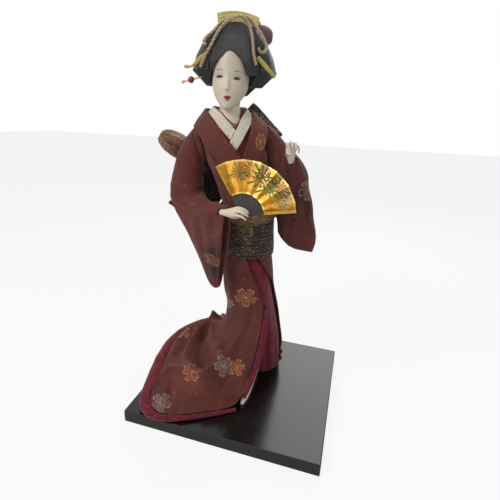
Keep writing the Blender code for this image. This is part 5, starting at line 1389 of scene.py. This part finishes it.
@dataclass
class HeadDress:
    """Comb, pins, bead and the two twisted cords."""

    cord_radius: float = 1.75
    ply_sides: int = 9

    def _twist(self, node: str, name: str) -> None:
        """Replaces a plain cord by two plies twisted round its middle line."""
        line = self._middle_line(node)
        run = np.concatenate([[0], np.cumsum(np.linalg.norm(np.diff(line, axis=0), axis=1))])
        count = int(run[-1] / 0.00055)
        places = np.linspace(0, run[-1], count)
        path = np.column_stack([np.interp(places, run, line[:, k]) for k in range(3)])
        for _ in range(6):
            path[1:-1] = (path[:-2] + path[1:-1] * 2 + path[2:]) / 4
        tangents = np.gradient(path, axis=0)
        tangents /= np.linalg.norm(tangents, axis=1)[:, None]
        side = np.cross(tangents[0], (0.3, 0.2, 1.0))
        bm = bmesh.new()
        plies, threads = [], []
        for k in (0, 1):
            rings = []
            frame_side = side.copy()
            for i, (at, along) in enumerate(zip(path, tangents)):
                frame_side = frame_side - along * (frame_side @ along)
                frame_side /= np.linalg.norm(frame_side)
                up = np.cross(along, frame_side)
                twist = places[i] / 0.0046 * 2 * math.pi + k * math.pi
                middle = at + (frame_side * math.cos(twist) + up * math.sin(twist)) * self.cord_radius * 0.47 * MM
                ring = []
                for a in np.linspace(0, 2 * math.pi, self.ply_sides, endpoint=False):
                    out = (frame_side * math.cos(a) + up * math.sin(a)) * self.cord_radius * 0.56 * MM
                    ring.append(bm.verts.new(middle + out))
                    plies.append(float(k))
                    threads.append(a / (2 * math.pi) * 3 + places[i] / 0.0017)
                rings.append(ring)
            for low, high in zip(rings, rings[1:]):
                for j in range(self.ply_sides):
                    after = (j + 1) % self.ply_sides
                    bm.faces.new((low[j], low[after], high[after], high[j]))
            bm.faces.new(rings[0][::-1])
            bm.faces.new(rings[-1])
        bmesh.ops.recalc_face_normals(bm, faces=bm.faces)
        mesh = bpy.data.meshes.new(name)
        bm.to_mesh(mesh)
        bm.free()
        made = new_piece(name, mesh)
        carry(made, "ply", np.array(plies))
        carry(made, "thread", np.array(threads))
        finish_piece(made, CordFinish().make(), Slot.CORD, [node], 80)

    def _middle_line(self, node: str) -> np.ndarray:
        """The middle line of a plain round cord, from the rings that its solid is made of."""
        bm = bmesh.new()
        bm.from_mesh(bpy.data.objects[NODES[node]].data)
        bmesh.ops.remove_doubles(bm, verts=bm.verts, dist=1e-6)
        left = set(bm.verts)
        ends = [v for v in bm.verts if len(v.link_edges) <= 4]
        first = min(ends, key=lambda v: DOLL.back(np.array([v.co]))[0][0])
        middle = []
        radius = self.cord_radius * 2.2 * MM
        ring = {v for v in bm.verts if (v.co - first.co).length < radius}
        while ring:
            centre = sum((v.co for v in ring), Vector()) / len(ring)
            middle.append(np.array(centre))
            left -= ring
            ring = {w for v in ring for e in v.link_edges for w in e.verts if w in left}
        bm.free()
        return np.array(middle)

    def build(self) -> None:
        """Builds the ornaments."""
        keep_node("comb", CombFinish().make())
        amber = SilkFinish("pin_lacquer", (0.40, 0.31, 0.05), (0.55, 0.46, 0.12), 600).make()
        for side in ("left", "right"):
            pin = soft_copy(f"flat_hairpin_{side}", [f"hairpin_{side}"], 0.7, 80, 2, 2)
            finish_piece(pin, amber, Slot.COMB, [f"hairpin_{side}"])
        keep_node("bead_rod", MetalFinish("gilt_rod", (0.72, 0.42, 0.06), 0.25).make())
        bead = soft_copy("round_coral_bead", ["coral_bead"], 0.5, 150, 2, 3)
        coral = MetalFinish("coral_red", (0.30, 0.012, 0.018), 0.18, 0.0).make()
        finish_piece(bead, coral, Slot.CORAL, ["coral_bead"], 80)
        self._twist("hair_cord", "twisted_cord_front")
        self._twist("hair_cord_loops", "twisted_cord_loops")


@dataclass
class Kimono:
    """The kimono: skirt with its train, upper part, sleeves and collars, with their edges."""

    waves: float = 0.55

    def build(self) -> None:
        """Builds the kimono and its edges."""
        skirt = soft_copy("kimono_skirt_cloth", ["kimono_skirt"], 1.9, 55, 1, 2)
        self._drape_train(skirt)
        crepe = CrepeFinish("skirt_crepe", clouds=0.7, print_on=SKIRT_PRINT).make()
        finish_piece(skirt, crepe, Slot.KIMONO, ["kimono_skirt"], 50)
        brocade = BrocadeFinish().make()
        crimson = (brocade, Slot.CRIMSON)
        padded_piece("padded_hem", "train_hem_roll", (1.5, 70, 1, 8), (0.5, 9.0, 1.0), crimson, 0.8)
        padded_piece("padded_front_edge", "front_edge_roll", (1.2, 80, 1, 6), (0.4, 8.0, 3.0), crimson, 0.8)
        falls = (
            Crease(((14, 120), (24, 60), (30, 5)), 1.0, 3.0),
            Crease(((24, 150), (38, 70), (42, 10)), 0.8, 3.0),
        )
        padded_piece("under_skirt_cloth", "under_skirt", (1.9, 60, 1, 6), (0.4, 16.0, 5.0), crimson, 0.3, falls)
        self._upper_part(brocade)

    def _drape_train(self, skirt: bpy.types.Object) -> None:
        """Lays long soft folds into the skirt and fine ones into the train."""
        press(
            skirt,
            (
                Crease(((-24, 186), (-22, 150), (-14, 112), (-16, 80)), 0.9, 3.0),
                Crease(((-10, 180), (-6, 150), (2, 118), (-2, 84)), 0.8, 2.6),
                Crease(((-30, 150), (-32, 120), (-40, 92), (-60, 70)), 1.1, 3.2),
                Crease(((8, 120), (-4, 80), (-22, 40), (-38, 12)), 1.3, 3.4),
                Crease(((-20, 96), (-36, 70), (-62, 40), (-84, 14)), 1.2, 3.6),
            ),
            self.waves,
            26.0,
            0.4,
        )
        heap(
            skirt,
            (
                Crease(((-34, 76), (-62, 62), (-84, 44), (-98, 16), (-101, -4)), -7.0, 5.5),
                Crease(((-30, 60), (-58, 46), (-80, 24), (-90, -2)), 4.0, 4.5),
                Crease(((-46, 38), (-66, 28), (-79, -4), (-81, -27), (-72, -40)), -9.0, 4.8),
                Crease(((-40, 30), (-60, 16), (-66, -12), (-62, -34)), 5.0, 4.5),
                Crease(((-34, 66), (-46, 34), (-50, 4), (-44, -22), (-34, -34)), -9.0, 4.6),
                Crease(((-28, 20), (-34, -4), (-32, -26)), 4.0, 4.0),
                Crease(((-104, -30), (-84, -38), (-56, -50), (-34, -60), (-16, -62)), -7.0, 4.5),
                Crease(((-96, -52), (-70, -62), (-40, -70)), 3.0, 5.0),
                Crease(((-8, -20), (-30, -36), (-52, -48)), -6.5, 4.2),
                Crease(((-12, -38), (-34, -50)), 3.5, 3.5),
                Crease(((-98, -58), (-93, -84)), 4.0, 3.6),
                Crease(((-60, -30), (-57, -44)), 4.5, 4.0),
            ),
            9.0,
            96.0,
        )

    def _upper_part(self, brocade: bpy.types.Material) -> None:
        """Builds what is above the sash."""
        # The collar's outer edge, where the crepe gets a painted shadow line.
        seam = ((-71, 329, -42, 295),)
        cloth = CrepeFinish("top_crepe", (0.118, 0.030, 0.022), clouds=0.25, print_on=TOP_PRINT, shaded_seams=seam).make()
        tucks = (
            Crease(((-44, 300), (-24, 262), (-18, 248)), 0.8, 2.6),
            Crease(((2, 296), (-2, 270), (-6, 250)), 0.8, 2.6),
        )
        top = (cloth, Slot.KIMONO)
        padded_piece("kimono_top", "kimono_bodice", (1.6, 50, 0, 8, True), (0.4, 18.0, 2.0), top, 0.4, tucks)
        # A seam on the sleeve by the collar, where the crepe gets a painted shadow line.
        seam = ((-72, 330, -62, 298),)
        sleeve_cloth = CrepeFinish("sleeve_crepe", clouds=0.85, print_on=SLEEVE_PRINT, shaded_seams=seam).make()
        sleeve = (sleeve_cloth, Slot.KIMONO)
        padded_piece(
            "sleeve_of_right_arm",
            "sleeve_right",
            (1.7, 62, 1, 3),
            (0.7, 20.0, 3.0),
            sleeve,
            0.3,
            (
                Crease(((-84, 300), (-71, 292), (-56, 276)), 1.6, 3.0),
                Crease(((-98, 262), (-82, 258), (-60, 262)), 1.9, 3.2),
                Crease(((-97, 250), (-80, 240), (-56, 238)), 1.5, 3.0),
                Crease(((-71, 327), (-62, 298), (-56, 268)), 1.0, 2.8),
                Crease(((-62, 236), (-57, 200), (-50, 164)), 1.2, 3.2),
                Crease(((-46, 244), (-44, 205), (-42, 165)), 0.8, 2.6),
                Crease(((-76, 226), (-68, 200), (-58, 172)), 0.9, 3.0),
            ),
        )
        left = padded_piece(
            "sleeve_of_left_arm",
            "sleeve_left",
            (1.7, 62, 1, 3),
            (0.6, 18.0, 5.0),
            sleeve,
            0.3,
            (
                Crease(((24, 321), (30, 303), (26, 292), (26, 279)), 1.4, 2.6),
                Crease(((45, 294), (52, 276), (56, 258), (63, 238)), 1.2, 2.6),
                Crease(((58, 276), (50, 262), (36, 252)), 1.1, 3.0),
                Crease(((44, 256), (44, 232), (42, 204)), 1.2, 3.0),
            ),
        )
        self._wrist_cuff(sleeve_cloth, brocade)
        white = (WhiteSilkFinish().make(), Slot.WHITE_SILK)
        collars = []
        for side in ("left", "right"):
            outer = (f"kimono_collar_band_{side}", f"kimono_collar_{side}")
            collars.append(padded_piece(*outer, (1.2, 60, 1, 5), (0.25, 12.0, 1.0), top, 0.2))
            inner = (f"white_collar_band_{side}", f"white_collar_{side}")
            padded_piece(*inner, (1.0, 60, 1, 5), (0.15, 8.0, 1.0), white, 0.2)
        rim = soft_copy("red_inner_edge", ["red_collar_edge"], 0.8, 80, 2, 2)
        red = SilkFinish("red_edge_silk", (0.20, 0.008, 0.012), (0.32, 0.02, 0.02)).make()
        finish_piece(rim, red, Slot.RED_SILK, ["red_collar_edge"])
        routes = (
            ("piping_right_collar", ((-51.0, 343), (-46, 336.5), (-34, 322.5), (-24, 311.5), (-15, 302.5))),
            ("piping_left_collar", ((-8.4, 345.5), (-7.6, 338), (-9.2, 322), (-12.5, 305))),
        )
        for name, route in routes:
            path = onto(collars, route, 0.15)
            finish_piece(rounded_tube(name, path, 0.45 * MM), brocade, Slot.CRIMSON)
        opening = ((39.6, 297), (45.0, 291), (45.4, 282), (55.2, 261), (63.2, 240), (73.0, 213))
        path = onto([left], opening, 0.2)
        finish_piece(rounded_tube("piping_left_sleeve", path, 0.8 * MM), brocade, Slot.CRIMSON)

    def _wrist_cuff(self, cloth: bpy.types.Material, lining: bpy.types.Material) -> None:
        """Closes the left sleeve round the wrist of the raised hand, with its lining showing as a narrow ring."""
        path = DOLL.out(smooth_line(((51, -8, 272), (50, -12, 280), (45.5, -16, 290), (40.5, -19.5, 300)), 14))
        share = np.linspace(0, 1, 14)
        cuff = rounded_tube("cuff_of_left_arm", path, (10.5 - 4.4 * share**0.8) * MM, 28)
        press(cuff, (), 0.7, 7.0, 2.0)
        finish_piece(cuff, cloth, Slot.KIMONO)
        tangent = path[-1] - path[-3]
        tangent /= np.linalg.norm(tangent)
        side = np.cross(tangent, (0.3, 0.2, 1.0))
        side /= np.linalg.norm(side)
        up = np.cross(tangent, side)
        angles = np.linspace(0, 2 * math.pi, 40)
        ring = np.array([path[-1] + (side * math.cos(a) + up * math.sin(a)) * 5.7 * MM for a in angles])
        finish_piece(rounded_tube("cuff_lining", ring, 0.8 * MM), lining, Slot.CRIMSON)


@dataclass
class Sash:
    """Obi, the scarf tucked over it and the bow at the back."""

    def build(self) -> None:
        """Builds the sash."""
        glitter = GlitterFinish("sash_cloth", (0.012, 0.008, 0.008), (0.52, 0.36, 0.22), 0.16, True).make()
        band = soft_copy("sash_band", ["obi_band"], 1.3, 60, 1, 5)
        press(band, (), 0.3, 14.0, 1.0)
        finish_piece(band, glitter, Slot.OBI, ["obi_band"])
        gold = GlitterFinish("scarf_cloth", (0.085, 0.045, 0.020), (0.58, 0.38, 0.17), 0.42).make()
        bunches = tuple(Crease(((x, 226), (x + 3, 243)), 0.5, 1.3) for x in range(-26, 24, 5))
        tied = (gold, Slot.SCARF)
        padded_piece("bunched_scarf", "obi_scarf", (1.0, 70, 1, 5), (0.5, 6.0, 1.0), tied, 0.5, bunches)
        tab = soft_copy("scarf_end", ["scarf_tab"], 0.8, 70, 1, 3)
        finish_piece(tab, gold, Slot.SCARF, ["scarf_tab"])
        panel_cloth = GlitterFinish("bow_cloth", (0.030, 0.016, 0.014), (0.50, 0.40, 0.30), 0.18).make()
        bow = (panel_cloth, Slot.OBI)
        padded_piece("bow_flat_loop", "obi_bow_panel", (1.7, 60, 1, 6), (0.5, 15.0, 1.0), bow, 0.5)
        roll = soft_copy("bow_puffed_loop", ["obi_bow_roll"], 1.5, 70, 1, 6)
        self._gather(roll)
        finish_piece(roll, RollFinish().make(), Slot.OBI_COPPER, ["obi_bow_roll"])
        padded_piece("bow_knot_band", "obi_knot", (1.2, 60, 1, 4), (0.3, 8.0, 4.0), bow, 0.5)

    def _gather(self, roll: bpy.types.Object) -> None:
        """Lays the roll's lengthwise gathers and gives it its strokes."""
        where, normals = DOLL.back(points_of(roll)), normals_of(roll)
        middle = where.mean(axis=0)
        _, _, axes = np.linalg.svd(where - middle, full_matrices=False)
        off = (where - middle) @ axes.T
        angle = np.arctan2(off[:, 2], off[:, 1])
        carry(roll, "spoke", angle * 3.2 / math.pi)
        carry(roll, "along", off[:, 0] / 10)
        lift = 0.55 * np.sin(angle * 15 + np.sin(off[:, 0] / 14)) * np.clip(1 - np.abs(off[:, 0]) / 110, 0.2, 1)
        move_points(roll, points_of(roll) + normals * (lift * MM)[:, None])


@dataclass
class Fan:
    """The folding fan: gold leaf, ribs, outer sticks and rivet."""

    leaf_edge: float = 1.2
    pleat_angle: float = 12

    def build(self) -> None:
        """Builds the fan."""
        leaf = soft_copy("fan_gold_leaf", ["fan_leaf"], self.leaf_edge, self.pleat_angle, 0, 0)
        finish_piece(leaf, FanLeafFinish().make(), Slot.FAN_GOLD, ["fan_leaf"], self.pleat_angle)
        wood = WoodFinish("black_bamboo", (0.010, 0.008, 0.007), (0.055, 0.035, 0.022)).make()
        keep_node("fan_ribs", wood)
        gilded = GuardFinish().make()
        keep_node("fan_guard_left", gilded)
        keep_node("fan_guard_right", gilded)
        keep_node("fan_rivet", MetalFinish("fan_rivet_gilt", (0.70, 0.44, 0.10), 0.28).make())


@dataclass
class Setting:
    """Camera, floor and soft light."""

    focal_share: float = 360 / 500
    place: Point = (0.1144, -0.4020, 0.3565)
    right: Point = (0.9583, 0.2829, 0.0399)
    down: Point = (0.1317, -0.3136, -0.9404)
    ahead: Point = (-0.2535, 0.9064, -0.3378)

    def camera(self) -> None:
        """Sets the camera at the photograph's viewing angle."""
        lens = bpy.data.cameras.new("view")
        lens.sensor_width = 36
        lens.lens = 36 * self.focal_share
        lens.clip_start = 0.01
        eye = bpy.data.objects.new("view", lens)
        bpy.context.scene.collection.objects.link(eye)
        r, d, a = (Vector(v).normalized() for v in (self.right, self.down, self.ahead))
        turn = Matrix((r, -d, -a)).transposed().to_4x4()
        eye.matrix_world = Matrix.Translation(self.place) @ turn
        bpy.context.scene.camera = eye

    def _lamp(self, name: str, at: Point, to: Point, size: float, watts: float, tint: Tint = (1, 1, 1)) -> None:
        """One soft square lamp that looks at a point."""
        light = bpy.data.lights.new(name, "AREA")
        light.size = size
        light.energy = watts
        light.color = tint
        lamp = bpy.data.objects.new(name, light)
        bpy.context.scene.collection.objects.link(lamp)
        lamp.location = at
        lamp.rotation_euler = (Vector(to) - Vector(at)).to_track_quat("-Z", "Y").to_euler()

    def floor_and_light(self) -> None:
        """Adds the pale floor, the lamps and the pale surroundings."""
        mesh = bpy.data.meshes.new("pale_floor")
        mesh.from_pydata([(-6, -6, 0), (6, -6, 0), (6, 6, 0), (-6, 6, 0)], [], [(0, 1, 2, 3)])
        floor = new_piece("pale_floor", mesh)
        floor.location.z = -0.0004
        paint = Paint("pale_floor")
        path = paint.node("ShaderNodeLightPath", {}, {}).outputs
        seen = Value(paint, path["Is Camera Ray"])
        glow = paint.node("ShaderNodeEmission", {}, {"Color": (1.0, 1.0, 1.0), "Strength": 1.0}).outputs[0]
        pale = paint.mix(paint.noise(3, 2), (0.80, 0.79, 0.78), (0.76, 0.755, 0.75))
        floor_shader = paint.done(Base_Color=pale, Roughness=0.9)
        blend = paint.node("ShaderNodeMixShader", {}, {0: seen * 0.86, 1: paint.shader.outputs[0], 2: glow})
        out = paint.tree.nodes["Material Output"]
        paint.tree.links.new(blend.outputs[0], out.inputs["Surface"])
        mesh.materials.append(floor_shader)
        world = bpy.data.worlds.new("pale_room")
        world.use_nodes = True
        tree = world.node_tree
        tree.nodes.clear()
        path = tree.nodes.new("ShaderNodeLightPath").outputs
        behind = tree.nodes.new("ShaderNodeBackground")
        behind.inputs[0].default_value = (1, 1, 1, 1)
        room = tree.nodes.new("ShaderNodeBackground")
        room.inputs[0].default_value = (0.95, 0.97, 1.0, 1)
        room.inputs[1].default_value = 0.30
        mixed = tree.nodes.new("ShaderNodeMixShader")
        either = tree.nodes.new("ShaderNodeMath")
        either.operation = "MAXIMUM"
        tree.links.new(path["Is Camera Ray"], either.inputs[0])
        tree.links.new(path["Is Glossy Ray"], either.inputs[1])
        tree.links.new(either.outputs[0], mixed.inputs[0])
        tree.links.new(room.outputs[0], mixed.inputs[1])
        tree.links.new(behind.outputs[0], mixed.inputs[2])
        out = tree.nodes.new("ShaderNodeOutputWorld")
        tree.links.new(mixed.outputs[0], out.inputs[0])
        bpy.context.scene.world = world
        self._lamp("key", (-0.55, -0.75, 1.0), (0, 0, 0.25), 0.6, 9.5, (1.0, 0.97, 0.92))
        self._lamp("fill", (0.9, -0.6, 0.6), (0, 0, 0.22), 0.8, 2.6, (0.95, 0.97, 1.0))
        self._lamp("back", (0.2, 0.9, 0.9), (0, 0, 0.3), 0.8, 5.0)
        bpy.context.scene.view_settings.view_transform = "Standard"


def main() -> None:
    """Builds the doll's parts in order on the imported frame."""
    logging.basicConfig(level=logging.INFO, format="%(name)s %(message)s")
    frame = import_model()
    for name in frame["nodes"]:
        NODES[name] = frame["nodes"][name].name
    clear_selection()
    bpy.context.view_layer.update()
    setting = Setting()
    setting.camera()
    HeadDress().build()
    Board().build()
    Core().build()
    Head().build()
    Hands().build()
    Hair().build()
    Kimono().build()
    Sash().build()
    Fan().build()
    setting.floor_and_light()


if __name__ == "__main__":
    main()
